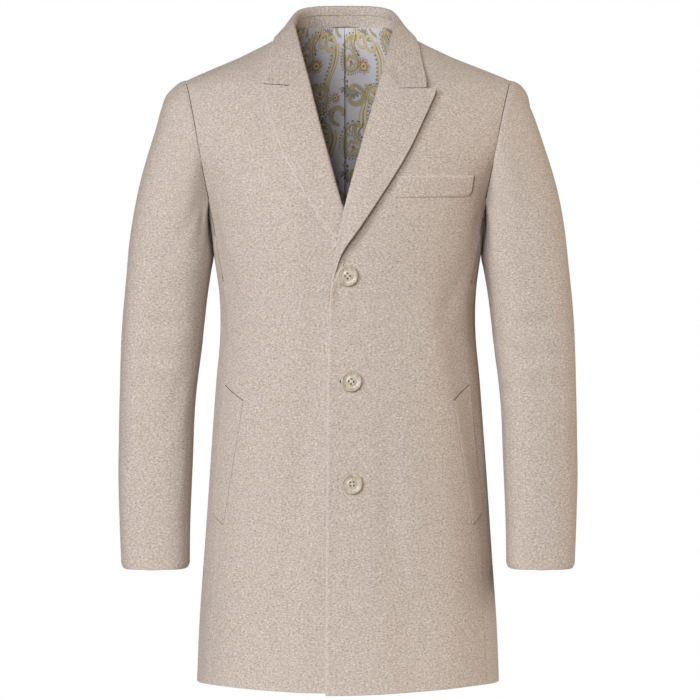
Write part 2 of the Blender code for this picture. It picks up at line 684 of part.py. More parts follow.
front("front_left", False)
front("front_right", True)
for hand, flip in (("left", False), ("right", True)):
    side("side_" + hand, flip)
    back("back_" + hand, flip)
    sleeve("sleeve_top_" + hand, BACK_SEAM_STEP - LOOP_STEPS, FRONT_SEAM_STEP, flip)
    sleeve("sleeve_under_" + hand, FRONT_SEAM_STEP, BACK_SEAM_STEP, flip)
    lapel("lapel_" + hand, flip)
    hip_turn, hip_z = patch(HIP_WELT, 4, 9)
    welt("hip_welt_" + hand, np.radians(hip_turn), place_of(hip_z), flip)
    lining("lining_" + hand, not flip, flip)
collar_stand()
collar_leaf()
breast_x, breast_z = patch(BREAST_WELT, 7, 3)
welt("breast_welt", front_angle(breast_x, breast_z), place_of(breast_z), False)
for number, (button_x, button_z) in enumerate(BUTTONS, 1):
    button("button_%d" % number, button_x, button_z)
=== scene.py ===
"""Looks of a winter coat: a hollow, worn overcoat of wool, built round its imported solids.

Metres, +Z up. The front faces -Y and the wearer's left is +X, to the right in the picture.
Panels are made for the wearer's left and mirrored for the right.
"""

import bpy
import numpy as np
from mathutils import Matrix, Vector


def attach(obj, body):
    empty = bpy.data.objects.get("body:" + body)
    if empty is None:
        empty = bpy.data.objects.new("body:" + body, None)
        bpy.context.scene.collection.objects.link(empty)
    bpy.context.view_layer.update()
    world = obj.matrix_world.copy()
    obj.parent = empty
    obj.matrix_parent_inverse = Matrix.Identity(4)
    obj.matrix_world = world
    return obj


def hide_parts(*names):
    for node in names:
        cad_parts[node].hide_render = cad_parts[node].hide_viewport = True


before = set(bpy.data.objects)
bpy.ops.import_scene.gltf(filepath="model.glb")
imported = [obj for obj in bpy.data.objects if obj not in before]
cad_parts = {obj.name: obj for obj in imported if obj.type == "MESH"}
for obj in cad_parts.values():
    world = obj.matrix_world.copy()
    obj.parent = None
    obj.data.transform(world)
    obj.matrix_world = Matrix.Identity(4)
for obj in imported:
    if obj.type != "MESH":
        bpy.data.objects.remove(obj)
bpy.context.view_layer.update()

# Studio
# A pale floor some way below the hem and white surroundings. Soft lights from the left front model
# the cloth, one nearer the middle reaches into the neck, and warmer ones stand on the right and
# behind. The camera is level.
VIEW_DISTANCE = 4.0
VIEW_WIDTH = 0.966           # width of the picture at the depth of the shoulders
VIEW_CENTRE = (0.00276, -0.4278)
FLOOR_Z = -1.06
FLOOR_RADIUS = 0.62
LIGHT_AIM = (0, 0, -0.40)
DAYLIGHT = (0.968, 0.994, 1.0)
# Lights: name, place, width, watts, colour
LIGHTS = (
    ("key", (-2.2, -3.0, 0.35), 1.1, 59, DAYLIGHT),
    ("key_high", (-2.0, -2.8, 1.3), 1.1, 16, DAYLIGHT),
    ("front", (-0.75, -3.8, 0.35), 1.2, 74, DAYLIGHT),
    ("right_side", (3.0, 0.4, 0.3), 1.4, 45, (1.0, 0.99, 0.89)),
    ("right_front", (3.0, -1.3, 0.2), 1.4, 13, (1.0, 0.76, 0.50)),
    ("behind", (-0.5, 3.6, 0.4), 1.8, 60, (1.0, 0.98, 0.95)),
)
scene = bpy.context.scene
scene.view_settings.view_transform = "Standard"
scene.view_settings.look = "None"


def feed(tree, node, inputs):
    """Sets a node's inputs, given as pairs of a socket's key and a value or another socket."""
    for key, value in inputs:
        if isinstance(value, bpy.types.NodeSocket):
            tree.links.new(value, node.inputs[key])
        else:
            node.inputs[key].default_value = value


def put(tree, kind, inputs=(), **settings):
    """Adds a shader node with its settings and inputs."""
    node = tree.nodes.new(kind)
    for key, value in settings.items():
        setattr(node, key, value)
    feed(tree, node, inputs)
    return node


def new_material(name):
    """Empty node material with a Principled shader; returns the material, its tree and the shader."""
    material = bpy.data.materials.new(name)
    material.use_nodes = True
    tree = material.node_tree
    return material, tree, tree.nodes["Principled BSDF"]


def add_light(name, place, size, watts, colour):
    """Square soft light at a place, turned towards the coat."""
    lamp = bpy.data.lights.new(name, "AREA")
    lamp.size = size
    lamp.energy = watts
    lamp.color = colour
    holder = bpy.data.objects.new(name, lamp)
    holder.location = place
    holder.rotation_euler = (Vector(LIGHT_AIM) - Vector(place)).to_track_quat("-Z", "Y").to_euler()
    scene.collection.objects.link(holder)


def disc_mesh(radius, z, rings, sides):
    """Flat disc: rings of points at even steps of the radius, closed at the middle."""
    turn = 2 * np.pi * np.arange(sides) / sides
    reach = radius * np.arange(1, rings + 1) / rings
    x, y = np.outer(reach, np.cos(turn)), np.outer(reach, np.sin(turn))
    points = np.stack([x, y, np.full_like(x, z)], -1).reshape(-1, 3)
    points = np.concatenate([points, [(0, 0, z)]])
    index = np.arange(rings * sides).reshape(rings, sides)
    ahead = np.roll(index, -1, axis=1)
    quads = np.stack([index[:-1], index[1:], ahead[1:], ahead[:-1]], -1).reshape(-1, 4)
    middle = np.stack([np.full(sides, rings * sides), index[0], ahead[0]], -1)
    mesh = bpy.data.meshes.new("floor")
    mesh.from_pydata(points.tolist(), [], quads.tolist() + middle.tolist())
    return mesh


floor_mesh = disc_mesh(FLOOR_RADIUS, FLOOR_Z, rings=12, sides=96)
floor = bpy.data.objects.new("floor", floor_mesh)
scene.collection.objects.link(floor)
floor_paint, tree, shader = new_material("floor_paint")
where = put(tree, "ShaderNodeTexCoord").outputs["Object"]
grain = put(tree, "ShaderNodeTexNoise", [("Vector", where), ("Scale", 9.0), ("Detail", 3.0)])
tone = put(tree, "ShaderNodeValToRGB", [("Fac", grain.outputs["Fac"])])
tone.color_ramp.elements[0].color = (0.80, 0.79, 0.78, 1)
tone.color_ramp.elements[1].color = (0.86, 0.855, 0.85, 1)
feed(tree, shader, [("Base Color", tone.outputs["Color"]), ("Roughness", 0.8)])
floor_mesh.materials.append(floor_paint)

lens = bpy.data.cameras.new("camera")
lens.sensor_width = 36
lens.lens = lens.sensor_width * VIEW_DISTANCE / VIEW_WIDTH
camera = bpy.data.objects.new("camera", lens)
camera.location = (VIEW_CENTRE[0], -VIEW_DISTANCE, VIEW_CENTRE[1])
camera.rotation_euler = (np.pi / 2, 0, 0)
scene.collection.objects.link(camera)
scene.camera = camera

for light in LIGHTS:
    add_light(*light)

world = bpy.data.worlds.new("white_room")
world.use_nodes = True
scene.world = world
tree = world.node_tree
tree.nodes.clear()
seen = put(tree, "ShaderNodeBackground", [("Color", (1, 1, 1, 1)), ("Strength", 1.0)])
lit = put(tree, "ShaderNodeBackground", [("Color", (1.0, 0.54, 0.34, 1)), ("Strength", 0.085)])
direct = put(tree, "ShaderNodeLightPath").outputs["Is Camera Ray"]
both = put(tree, "ShaderNodeMixShader", [(0, direct), (1, lit.outputs[0]), (2, seen.outputs[0])])
put(tree, "ShaderNodeOutputWorld", [("Surface", both.outputs[0])])

# Backs
# Two halves of beige melange wool coating, from the neck and shoulder seams to the hem, sewn
# together down the centre. The cloth is shaped over an oval body form with soft folds.
WALL = 0.0025                # coating cloth with its canvas
SEAM = 0.0003                # gap between two panels at a seam
SEAM_ROUND = 0.0010          # distance over which cloth turns into a seam
EDGE_ROUND = 0.0016          # distance over which a free edge is rounded
# How cloth ends at an edge: distance over which it turns down, share of its thickness it turns down
AT_SEAM = (SEAM_ROUND, 0.30)
AT_FLAT_SEAM = (0.0005, 0.12)
AT_EDGE = (EDGE_ROUND, 1.0)
# Painted highlight: free edges are made lighter in colour, standing in for the light they catch
EDGE_HIGHLIGHT = 0.42               # how strong the painted highlight is on a free edge
EDGE_HIGHLIGHT_WIDTH = 0.0026         # distance from the edge over which the painted highlight reaches
EDGE_HIGHLIGHT_TONE = (0.80, 0.735, 0.685, 1)
INSIDE_GREY = (0.150, 0.146, 0.160, 1)  # plain lining inside the panels and sleeves
EDGE_STEPS = np.array([0, 0.06, 0.25, 0.6, 1])  # close points across a rounded edge, as shares of it
CLOSE = len(EDGE_STEPS) - 1  # steps between them
PANEL_STEP = 0.005           # spacing of a panel's points
SHOULDER_STEPS = (0.0018, 0.0008)  # spacing of the shoulder's rows, width of the close ones at the neck
ARMHOLE_ROWS = 46
HEM_DEPTH = 0.038            # height of the turned-up hem
HEM_THICK = 0.0012           # extra thickness of the turned-up hem
HEM_SLOPE = 0.004            # distance over which that thickness begins
HEM = -0.885
OVAL = 2.4                   # exponent of the oval sections, 2 is an ellipse
NECK_SHIFT = -0.005          # the neck opening sits this far to one side
NECK_FADE = (-0.45, -0.20)   # heights between which that shift comes in
NECK_REACH = 0.215           # distance from the centre where the shift ends
NECK_SIDE = 0.006            # height of the neck seam at the shoulder
NECK_BACK = 0.026            # height of the neck seam at the centre back
GIRTH = 0.165                # mean radius of the body, turns an angle into a width
HEM_CURVE = (0.0050, 60.0, 26.0)  # rise of the hem beside the front: height, angle, half angle
HEM_FADE = (-0.72, 0.165)    # the hem's shaping begins at this height, and is full this far below it
CREASE_RIDGE = (0.45, 1.5)   # low ridge beside a crease: share of its depth, half widths away
SEAM_SHARE = 0.6             # share of a seam's gap that each of its two panels leaves

# Sections of the body from the hem up: height, half width, depth to front, depth to back
SECTIONS = np.array([
    (-0.885, 0.2080, 0.1500, 0.1500),
    (-0.800, 0.2045, 0.1490, 0.1485),
    (-0.715, 0.1985, 0.1475, 0.1455),
    (-0.630, 0.1925, 0.1460, 0.1420),
    (-0.550, 0.1872, 0.1450, 0.1385),
    (-0.475, 0.1818, 0.1435, 0.1345),
    (-0.410, 0.1765, 0.1420, 0.1320),
    (-0.350, 0.1770, 0.1430, 0.1305),
    (-0.295, 0.1840, 0.1455, 0.1300),
    (-0.245, 0.1905, 0.1460, 0.1310),
    (-0.200, 0.2060, 0.1400, 0.1320),
    (-0.155, 0.2340, 0.1280, 0.1310),
    (-0.112, 0.2510, 0.1100, 0.1275),
    (-0.084, 0.2500, 0.0960, 0.1230),
    (-0.068, 0.2400, 0.0880, 0.1190),
    (-0.057, 0.2225, 0.0815, 0.1160),
    (-0.046, 0.1975, 0.0745, 0.1120),
    (-0.036, 0.1730, 0.0680, 0.1080),
    (-0.026, 0.1490, 0.0610, 0.1035),
    (-0.016, 0.1280, 0.0540, 0.0985),
    (-0.006, 0.1080, 0.0460, 0.0930),
    (0.005, 0.0880, 0.0380, 0.0875),
    (0.016, 0.0740, 0.0330, 0.0825),
    (0.028, 0.0660, 0.0300, 0.0775),
])
# Large soft folds of the body: angle from the front, height, half angle, half length, depth
BODY_FOLDS = np.array([
    (150, -0.800, 10, 0.170, -0.0060),
    (-146, -0.780, 11, 0.190, -0.0055),
    (112, -0.850, 9, 0.150, 0.0040),
    (-115, -0.850, 9, 0.140, 0.0040),
    (48, -0.840, 9, 0.130, 0.0035),
    (-52, -0.850, 10, 0.140, 0.0030),
    (30, -0.800, 8, 0.120, -0.0030),
    (-33, -0.820, 8, 0.120, -0.0025),
    (128, -0.330, 12, 0.050, -0.0050),
    (-128, -0.330, 12, 0.050, -0.0050),
    (76, -0.390, 9, 0.035, -0.0030),
    (-76, -0.385, 9, 0.035, -0.0030),
])
# Creases of the body: angle, height, half width, half length, lean in degrees, depth
BODY_CREASES = np.array([
    (47, -0.540, 0.026, 0.160, -4, 0.0036),
    (42, -0.405, 0.024, 0.080, -5, 0.0026),
    (-24, -0.600, 0.020, 0.130, 3, -0.0056),
    (22, -0.650, 0.020, 0.090, -2, -0.0036),
    (-11.9, -0.260, 0.0045, 0.030, -36, -0.0030),
    (60, -0.330, 0.014, 0.060, 24, -0.0014),
    (52, -0.372, 0.012, 0.045, 32, -0.0010),
    (-60, -0.345, 0.014, 0.055, -22, -0.0012),
    (70, -0.262, 0.010, 0.040, 14, -0.0016),
    (-70, -0.262, 0.010, 0.042, -12, -0.0016),
    (6, -0.375, 0.010, 0.030, 18, -0.0010),
    (67, -0.5635, 0.018, 0.110, -10, -0.0032),
    (57, -0.5635, 0.012, 0.100, -10, 0.0026),
    (172, -0.400, 0.022, 0.090, 6, -0.0022),
    (-170, -0.420, 0.020, 0.100, -8, -0.0020),
    (160, -0.300, 0.014, 0.050, 40, -0.0016),
    (-158, -0.310, 0.014, 0.055, -38, -0.0018),
    (140, -0.560, 0.020, 0.120, -3, 0.0022),
    (-138, -0.600, 0.020, 0.130, 4, 0.0022),
    (118, -0.235, 0.010, 0.050, -18, -0.0018),
    (-118, -0.235, 0.010, 0.050, 16, -0.0020),
])
# Side seams below the armhole: height, angle of the front seam, angle of the back seam
SIDE_SEAMS = np.array([
    (-0.885, 67.0, 113.0),
    (-0.660, 66.0, 113.0),
    (-0.480, 64.0, 112.0),
    (-0.410, 66.0, 111.0),
    (-0.300, 72.0, 107.0),
    (-0.215, 76.5, 104.8),
])
# Armhole: a rounded loop, seen from the side
ARM_TOP = -0.0575
ARM_BOTTOM = -0.2450
ARM_MIDDLE_Y = 0.002
ARM_HALF_Y = 0.077
SIDE_TURN = 0.75 * np.pi     # turn round the armhole where front and back meet the side panel
# Front part of the armhole, straightened: height, distance from the centre line
FRONT_ARMHOLE = np.array([
    (-0.2215, 0.1890),
    (-0.2000, 0.1928),
    (-0.1600, 0.2000),
    (-0.1200, 0.2075),
    (-0.0850, 0.2150),
    (-0.0575, 0.2225),
])
BACK_WIDTH = 0.24            # mean width of a half back, sets the count of its columns
HANDS = (("left", False), ("right", True))  # the wearer's hands, and whether a piece is mirrored


def arc(part, start, leave, end, meet):
    """Cubic arc that leaves its start in one direction and meets its end in another."""
    first = (2 * part ** 3 - 3 * part ** 2 + 1) * start + (part ** 3 - 2 * part ** 2 + part) * leave
    return first + (3 * part ** 2 - 2 * part ** 3) * end + (part ** 3 - part ** 2) * meet


def along(table, place):
    """Smooth curve through a table's rows, by cubic arcs; place 0 is the first row, 1 the next."""
    place = np.clip(np.asarray(place, float), 0, len(table) - 1)
    index = np.minimum(place.astype(int), len(table) - 2)
    slope = np.gradient(table, axis=0)
    part = (place - index)[..., None]
    return arc(part, table[index], slope[index], table[index + 1], slope[index + 1])


def read(table, key, column=1):
    """Value of a column where the table's first column, which rises, has the given key."""
    fine = along(table, np.linspace(0, len(table) - 1, 600))
    return np.interp(key, fine[:, 0], fine[:, column])


def place_of(z):
    """Place in the section table at a height."""
    fine = np.linspace(0, len(SECTIONS) - 1, 4000)
    return np.interp(z, along(SECTIONS, fine)[:, 0], fine)


def ease(x):
    """Soft step from 0 to 1."""
    x = np.clip(x, 0, 1)
    return x * x * (3 - 2 * x)


def step_between(x, ends):
    """Soft step from 0 at the first of two ends to 1 at the second."""
    return ease((x - ends[0]) / (ends[1] - ends[0]))


def bell(x):
    """Bell curve: 1 at 0, close to 0 from 2 on."""
    return np.exp(-x ** 2)


def blend(ends, share):
    """Value a share of the way from the first of two ends to the second."""
    return ends[0] + (ends[1] - ends[0]) * share


def power(x, exponent):
    """Power that keeps the sign."""
    return np.sign(x) * np.abs(x) ** exponent


def folds(table, angle, z):
    """Sum of round soft troughs and ridges, one bell curve for each row of a fold table."""
    total = np.zeros(np.broadcast(angle, z).shape)
    for degrees, height, half_angle, half_length, depth in table:
        turn = np.angle(np.exp(1j * (angle - np.radians(degrees))))
        share = (turn / np.radians(half_angle)) ** 2 + ((z - height) / half_length) ** 2
        total = total + depth * np.exp(-share)
    return total


def creases(table, angle, z, radius):
    """Sum of long leaning creases: a bell across, a longer bell along, and a low ridge beside."""
    total = np.zeros(np.broadcast(angle, z).shape)
    for degrees, height, half_width, half_length, lean, depth in table:
        across = radius * np.angle(np.exp(1j * (angle - np.radians(degrees))))
        cosine, sine = np.cos(np.radians(lean)), np.sin(np.radians(lean))
        beside = (across * cosine - (z - height) * sine) / half_width
        length = (across * sine + (z - height) * cosine) / half_length
        shape = bell(beside) - CREASE_RIDGE[0] * bell(beside - CREASE_RIDGE[1])
        total = total + depth * shape * bell(length)
    return total


def oval(angle, place):
    """Body form: an oval section at each place, with the large folds added to its reach."""
    z, half, front, back = np.moveaxis(along(SECTIONS, place), -1, 0)
    depth = np.where(np.cos(angle) > 0, front, back)
    reach = np.abs(np.sin(angle) / half) ** OVAL + np.abs(np.cos(angle) / depth) ** OVAL
    reach = reach ** (-1 / OVAL) + folds(BODY_FOLDS, angle, z)
    return np.stack([reach * np.sin(angle), -reach * np.cos(angle), z], -1)


def unit(vectors):
    """Vectors scaled to length 1."""
    return vectors / np.maximum(np.linalg.norm(vectors, axis=-1, keepdims=True), 1e-12)


def oval_normal(angle, place, step=0.002):
    """Unit normals of the body form, from small steps round it and up it."""
    around = oval(angle + step, place) - oval(angle - step, place)
    upward = oval(angle, place + step) - oval(angle, place - step)
    return unit(np.cross(around, upward))


def near_hem(z):
    """How far the hem's shaping has come in at a height, 0 to 1."""
    return ease((HEM_FADE[0] - z) / HEM_FADE[1])


def off_body(angle, place, lift):
    """Point of the body form moved out along its normal by a lift."""
    return oval(angle, place) + lift[..., None] * oval_normal(angle, place)


def body(angle, z, lift=0.0):
    """Point of the body at an angle and height, creases included, moved out by a lift."""
    angle, z = np.broadcast_arrays(angle, z)
    points = off_body(angle, place_of(z), lift + creases(BODY_CREASES, angle, z, GIRTH))
    rise, middle, half = HEM_CURVE
    turn = (np.abs(np.degrees(np.angle(np.exp(1j * angle)))) - middle) / half
    points[..., 2] += rise * bell(turn) * near_hem(z)
    return points


def body_half(angle, z, flip, lift=0.0):
    """Body points as for the wearer's left; those to be mirrored have the right side's creases."""
    points = body(-angle if flip else angle, z, lift)
    return points * (-1, 1, 1) if flip else points


def settle(points):
    """The neck opening's small shift to one side, fading out below and at the shoulders."""
    x, z = points[..., 0], points[..., 2]
    rise = step_between(z, NECK_FADE)
    shift = NECK_SHIFT * rise * np.clip(1 - (x / NECK_REACH) ** 2, 0, 1)
    return points + np.stack([shift, np.zeros_like(x), np.zeros_like(x)], -1)


def lines(span, step, turn=EDGE_ROUND):
    """Shares from 0 to 1 across a span: even steps, and close ones where both edges turn over."""
    close = turn * EDGE_STEPS / span
    count = max(int(round(span / step)), 2)
    even = close[-1] + (1 - 2 * close[-1]) * np.arange(1, count) / count
    return np.concatenate([close, even, 1 - close[::-1]])


def lengths(points, axis):
    """Running length along one direction of a grid of points."""
    steps = np.linalg.norm(np.diff(points, axis=axis), axis=-1)
    total = np.cumsum(steps, axis=axis)
    return np.concatenate([np.zeros_like(np.take(total, [0], axis)), total], axis=axis)


def edge_turn(length, axis, first, last):
    """How far cloth has turned down, 0 inside to 1 on an edge, and the depth it turns down to.

    The turn is a quarter circle within the distance that the nearer edge gives.
    """
    total = np.take(length, [-1], axis)
    start, end = length / first[0], (total - length) / last[0]
    near = np.clip(np.minimum(start, end), 0, 1)
    return 1 - np.sqrt(1 - (1 - near) ** 2), np.where(start < end, first[1], last[1])


def flat_places(points, row):
    """Places on the flat cloth: lengths across from the middle column and along from one row."""
    across, down = lengths(points, 1), lengths(points, 0)
    return np.stack([across - across[:, points.shape[1] // 2, None], down - down[row]], -1)


def add_piece(name, points, faces, uv, material):
    """Mesh object from points, faces and a place on the flat cloth for each point."""
    corners = np.array([face[:3] for face in faces])
    a, b, c = (points[corners[:, k]] for k in range(3))
    if np.einsum("ij,ij->", a, np.cross(b, c)) < 0:
        faces = [face[::-1] for face in faces]
    mesh = bpy.data.meshes.new(name)
    mesh.from_pydata(points.tolist(), [], faces)
    mesh.shade_smooth()
    corner = np.empty(len(mesh.loops), dtype=np.int32)
    mesh.loops.foreach_get("vertex_index", corner)
    layer = mesh.uv_layers.new(name="cloth")
    layer.data.foreach_set("uv", uv[corner].astype(np.float32).ravel())
    mesh.materials.append(material)
    piece = bpy.data.objects.new(name, mesh)
    scene.collection.objects.link(piece)
    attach(piece, "root")
    return piece


def add_cloth(name, outer, thick, material, turns, mirrored=False, facing=1, uv=None,
              highlight=EDGE_HIGHLIGHT, lined=False):
    """Thin wall under a grid of outer points, its rim rounded over.

    On the rim the outer side bends down to meet the inner one. How it ends is given for the first
    row, last row, first and last column; further in the wall has its full thickness. Free edges
    get a painted highlight, a lighter colour standing in for the light they catch. The inner side
    of a lined piece is marked as inside.
    Facing is -1 where columns times rows point into the wall instead of out of it.
    """
    rows, columns = outer.shape[:2]
    ends, end_depth = edge_turn(lengths(outer, 0), 0, *turns[:2])
    sides, side_depth = edge_turn(lengths(outer, 1), 1, *turns[2:])
    turned = 1 - (1 - ends) * (1 - sides)
    depth = (ends * end_depth + sides * side_depth) / np.maximum(ends + sides, 1e-9)
    normal = facing * unit(np.cross(np.gradient(outer, axis=1), np.gradient(outer, axis=0)))
    if mirrored:
        outer, normal = outer * (-1, 1, 1), normal * (-1, 1, 1)
    over = outer - normal * (thick * depth * turned)[..., None]
    under = outer - normal * (thick * (1 - (1 - depth) * turned))[..., None]
    top = np.arange(rows * columns).reshape(rows, columns)
    low = top.copy()
    low[1:-1, 1:-1] = rows * columns + np.arange((rows - 2) * (columns - 2)).reshape(rows - 2, -1)
    quads = [
        np.stack([g[:-1, :-1], g[:-1, 1:], g[1:, 1:], g[1:, :-1]], -1).reshape(-1, 4)
        for g in (top, low)
    ]
    points = np.concatenate([over.reshape(-1, 3), under[1:-1, 1:-1].reshape(-1, 3)])
    flat = flat_places(outer, 0) if uv is None else uv
    flat = np.concatenate([flat.reshape(-1, 2), flat[1:-1, 1:-1].reshape(-1, 2)])
    faces = np.concatenate([quads[0], quads[1][:, ::-1]]).tolist()
    piece = add_piece(name + "_cloth", settle(points), faces, flat, material)
    # Painted highlight along the free edges, kept in the edge_highlight attribute
    near = [(EDGE_HIGHLIGHT_WIDTH, float(end[1] == 1)) for end in turns]
    ends, end_free = edge_turn(lengths(outer, 0), 0, *near[:2])
    sides, side_free = edge_turn(lengths(outer, 1), 1, *near[2:])
    edge_highlight = np.maximum(ends * end_free, sides * side_free)
    edge_highlight = highlight * ease(np.sqrt(edge_highlight * (2 - edge_highlight)))
    surface_layer = piece.data.attributes.new("edge_highlight", "FLOAT", "POINT")
    surface_layer.data.foreach_set("value", np.concatenate([edge_highlight.ravel(), edge_highlight[1:-1, 1:-1].ravel()]))
    inside = piece.data.attributes.new("inside", "FLOAT", "POINT")
    inside.data.foreach_set("value", float(lined) * (np.arange(len(points)) >= rows * columns))
    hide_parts(name)
    return piece


def group_sockets(group, inputs, outputs):
    """Names a node group's sockets, given as pairs of a name and a kind of socket."""
    for name, kind in inputs:
        group.interface.new_socket(name, in_out="INPUT", socket_type=kind)
    for name, kind in outputs:
        group.interface.new_socket(name, in_out="OUTPUT", socket_type=kind)
    return group.nodes.new("NodeGroupInput").outputs, group.nodes.new("NodeGroupOutput").inputs


def melange_group():
    """Melange of fibres: fine flecks lying along the weft, a short nap and broad cloudy tones."""
    group = bpy.data.node_groups.new("melange", "ShaderNodeTree")
    given, result = group_sockets(
        group,
        [("Vector", "NodeSocketVector")],
        [("Color", "NodeSocketColor"), ("Height", "NodeSocketFloat")],
    )
    weft = put(group, "ShaderNodeMapping", [("Vector", given["Vector"]), ("Scale", (0.62, 1.0, 1.0))])
    fleck = put(group, "ShaderNodeTexNoise", [
        ("Vector", weft.outputs[0]), ("Scale", 560.0), ("Detail", 2.5), ("Roughness", 0.62),
        ("Distortion", 0.6)])
    fibre = put(group, "ShaderNodeTexNoise", [
        ("Vector", given["Vector"]), ("Scale", 1500.0), ("Detail", 1.0), ("Distortion", 1.2)])
    cloud = put(group, "ShaderNodeTexNoise", [
        ("Vector", weft.outputs[0]), ("Scale", 95.0), ("Detail", 3.0), ("Roughness", 0.6)])
    tone = put(group, "ShaderNodeValToRGB", [("Fac", fleck.outputs["Fac"])])
    stops = tone.color_ramp.elements
    stops[0].position, stops[0].color = 0.30, (0.362, 0.291, 0.242, 1)
    stops[1].position, stops[1].color = 0.70, (0.734, 0.670, 0.625, 1)
    middle = stops.new(0.50)
    middle.color = (0.565, 0.485, 0.432, 1)
    hair = put(group, "ShaderNodeMapRange", [
        ("Value", fibre.outputs["Fac"]), ("From Min", 0.25), ("From Max", 0.75),
        ("To Min", 0.82), ("To Max", 1.18)])
    haze = put(group, "ShaderNodeMapRange", [
        ("Value", cloud.outputs["Fac"]), ("From Min", 0.30), ("From Max", 0.70),
        ("To Min", 0.955), ("To Max", 1.045)])
    shade = put(group, "ShaderNodeMath", [
        (0, hair.outputs[0]), (1, haze.outputs[0])], operation="MULTIPLY")
    tinted = put(group, "ShaderNodeVectorMath", [
        (0, tone.outputs["Color"]), ("Scale", shade.outputs[0])], operation="SCALE")
    group.links.new(tinted.outputs[0], result["Color"])
    surface_layer = put(group, "ShaderNodeMath", [
        (0, fibre.outputs["Fac"]), (1, fleck.outputs["Fac"])], operation="ADD")
    group.links.new(surface_layer.outputs[0], result["Height"])
    return group


def wool_material(melange):
    """Wool coating: melange on the cloth's flat places, painted highlight on free edges, soft sheen,
    napped surface.
    """
    material, tree, shader = new_material("wool_coating")
    flat = put(tree, "ShaderNodeTexCoord").outputs["UV"]
    fibres = put(tree, "ShaderNodeGroup", [("Vector", flat)], node_tree=melange)
    bump = put(tree, "ShaderNodeBump", [
        ("Height", fibres.outputs["Height"]), ("Strength", 0.35), ("Distance", 0.0004)])
    # Painted highlight: the edge_highlight attribute mixes a lighter tone into free edges
    edge = put(tree, "ShaderNodeAttribute", attribute_name="edge_highlight")
    tone = put(tree, "ShaderNodeMixRGB", [
        ("Fac", edge.outputs["Fac"]), ("Color1", fibres.outputs["Color"]), ("Color2", EDGE_HIGHLIGHT_TONE)])
    hidden = put(tree, "ShaderNodeAttribute", attribute_name="inside")
    lined = put(tree, "ShaderNodeMixRGB", [
        ("Fac", hidden.outputs["Fac"]), ("Color1", tone.outputs["Color"]), ("Color2", INSIDE_GREY)])
    feed(tree, shader, [
        ("Base Color", lined.outputs["Color"]), ("Normal", bump.outputs["Normal"]), ("Roughness", 0.93),
        ("Specular IOR Level", 0.18), ("Sheen Weight", 0.22), ("Sheen Roughness", 0.55),
        ("Sheen Tint", (1.0, 0.93, 0.86, 1))])
    return material


wool = wool_material(melange_group())


def loop_point(turn):
    """Armhole seen from the side: depth and height; turn 0 is the top, a quarter turn the front."""
    middle, half = (ARM_TOP + ARM_BOTTOM) / 2, (ARM_TOP - ARM_BOTTOM) / 2
    y = ARM_MIDDLE_Y - ARM_HALF_Y * power(np.sin(turn), 2 / OVAL)
    z = middle + half * power(np.cos(turn), 2 / OVAL)
    return y, z


def front_angle(x, z):
    """Angle of the front surface's point at a distance from the centre line and a height."""
    half, front = np.moveaxis(along(SECTIONS, place_of(z)), -1, 0)[1:3]
    share = np.clip(np.abs(x / half), 0, 0.999)
    return np.arctan2(x, front * (1 - share ** OVAL) ** (1 / OVAL))


def loop_angle(turn):
    """Body angle of a point of the armhole; its front part follows a line of its own."""
    y, z = loop_point(turn)
    half, front, back = np.moveaxis(along(SECTIONS, place_of(z)), -1, 0)[1:4]
    depth = np.where(y < 0, front, back)
    x = half * (1 - np.abs(y / depth) ** OVAL) ** (1 / OVAL)
    line = front_angle(read(FRONT_ARMHOLE, z), z)
    ahead = (np.sin(turn) > 0) & (np.cos(turn) > np.cos(SIDE_TURN))
    return np.where(ahead, np.minimum(line, np.pi / 2), np.arctan2(x, -y))


def seam_gap(z):
    """Angle that takes a panel's share of the seam's gap off its edge at a height."""
    return SEAM_SHARE * SEAM / along(SECTIONS, place_of(z))[..., 1]


# Heights of a panel's rows: skirt, armhole, then shoulder, close together at the hem and the neck
PANEL_TURNS = np.linspace(SIDE_TURN, 0, ARMHOLE_ROWS)
SEAM_TOP = loop_point(SIDE_TURN)[1]
SKIRT_Z = HEM + (SEAM_TOP - HEM) * lines(SEAM_TOP - HEM, PANEL_STEP)[:-CLOSE]
SKIRT_Z[-1] = SEAM_TOP
SHOULDER_Z = ARM_TOP + (NECK_SIDE - ARM_TOP) * lines(NECK_SIDE - ARM_TOP, *SHOULDER_STEPS)[CLOSE:]
PANEL_Z = np.concatenate([SKIRT_Z, loop_point(PANEL_TURNS[1:])[1], SHOULDER_Z[1:]])


def outer_limit(back):
    """Angle where a front or back ends on each row: side seam, armhole, then shoulder seam."""
    side = np.radians(read(SIDE_SEAMS, SKIRT_Z[:-1], 2 if back else 1))
    armhole = loop_angle(-PANEL_TURNS if back else PANEL_TURNS)
    limit = np.concatenate([side, armhole, np.full(len(SHOULDER_Z) - 1, np.pi / 2)])
    gap = seam_gap(PANEL_Z)
    return limit + gap if back else limit - gap


def hem_thickness(z):
    """Thickness of a panel, with the turned-up hem inside its lower edge."""
    return WALL + HEM_THICK * ease((HEM + HEM_DEPTH - z) / HEM_SLOPE)


def back_grid(step):
    """Angles and heights of a half back, from the centre seam to its outer limit."""
    share = lines(BACK_WIDTH, step, SEAM_ROUND)
    start = np.pi - seam_gap(PANEL_Z)[:, None]
    angle = start + (outer_limit(True)[:, None] - start) * share
    rise = ease((PANEL_Z[:, None] - ARM_TOP) / (NECK_SIDE - ARM_TOP))
    return angle, PANEL_Z[:, None] + rise * (NECK_BACK - NECK_SIDE) * np.cos(angle) ** 2


for hand, flip in HANDS:
    turn, height = back_grid(PANEL_STEP)
    panel = body_half(turn, height, flip)
    piece = add_cloth("back_" + hand, panel, hem_thickness(height), wool,
                      (AT_EDGE, AT_SEAM, AT_SEAM, AT_SEAM), flip, facing=-1, lined=True)

# Side panels
# One narrow panel of the same wool under each arm, from the armhole to the hem, sewn between
# the front and the back.
SIDE_WIDTH = 0.16
SIDE_FREE = -0.40            # below this height the panel's columns run straight


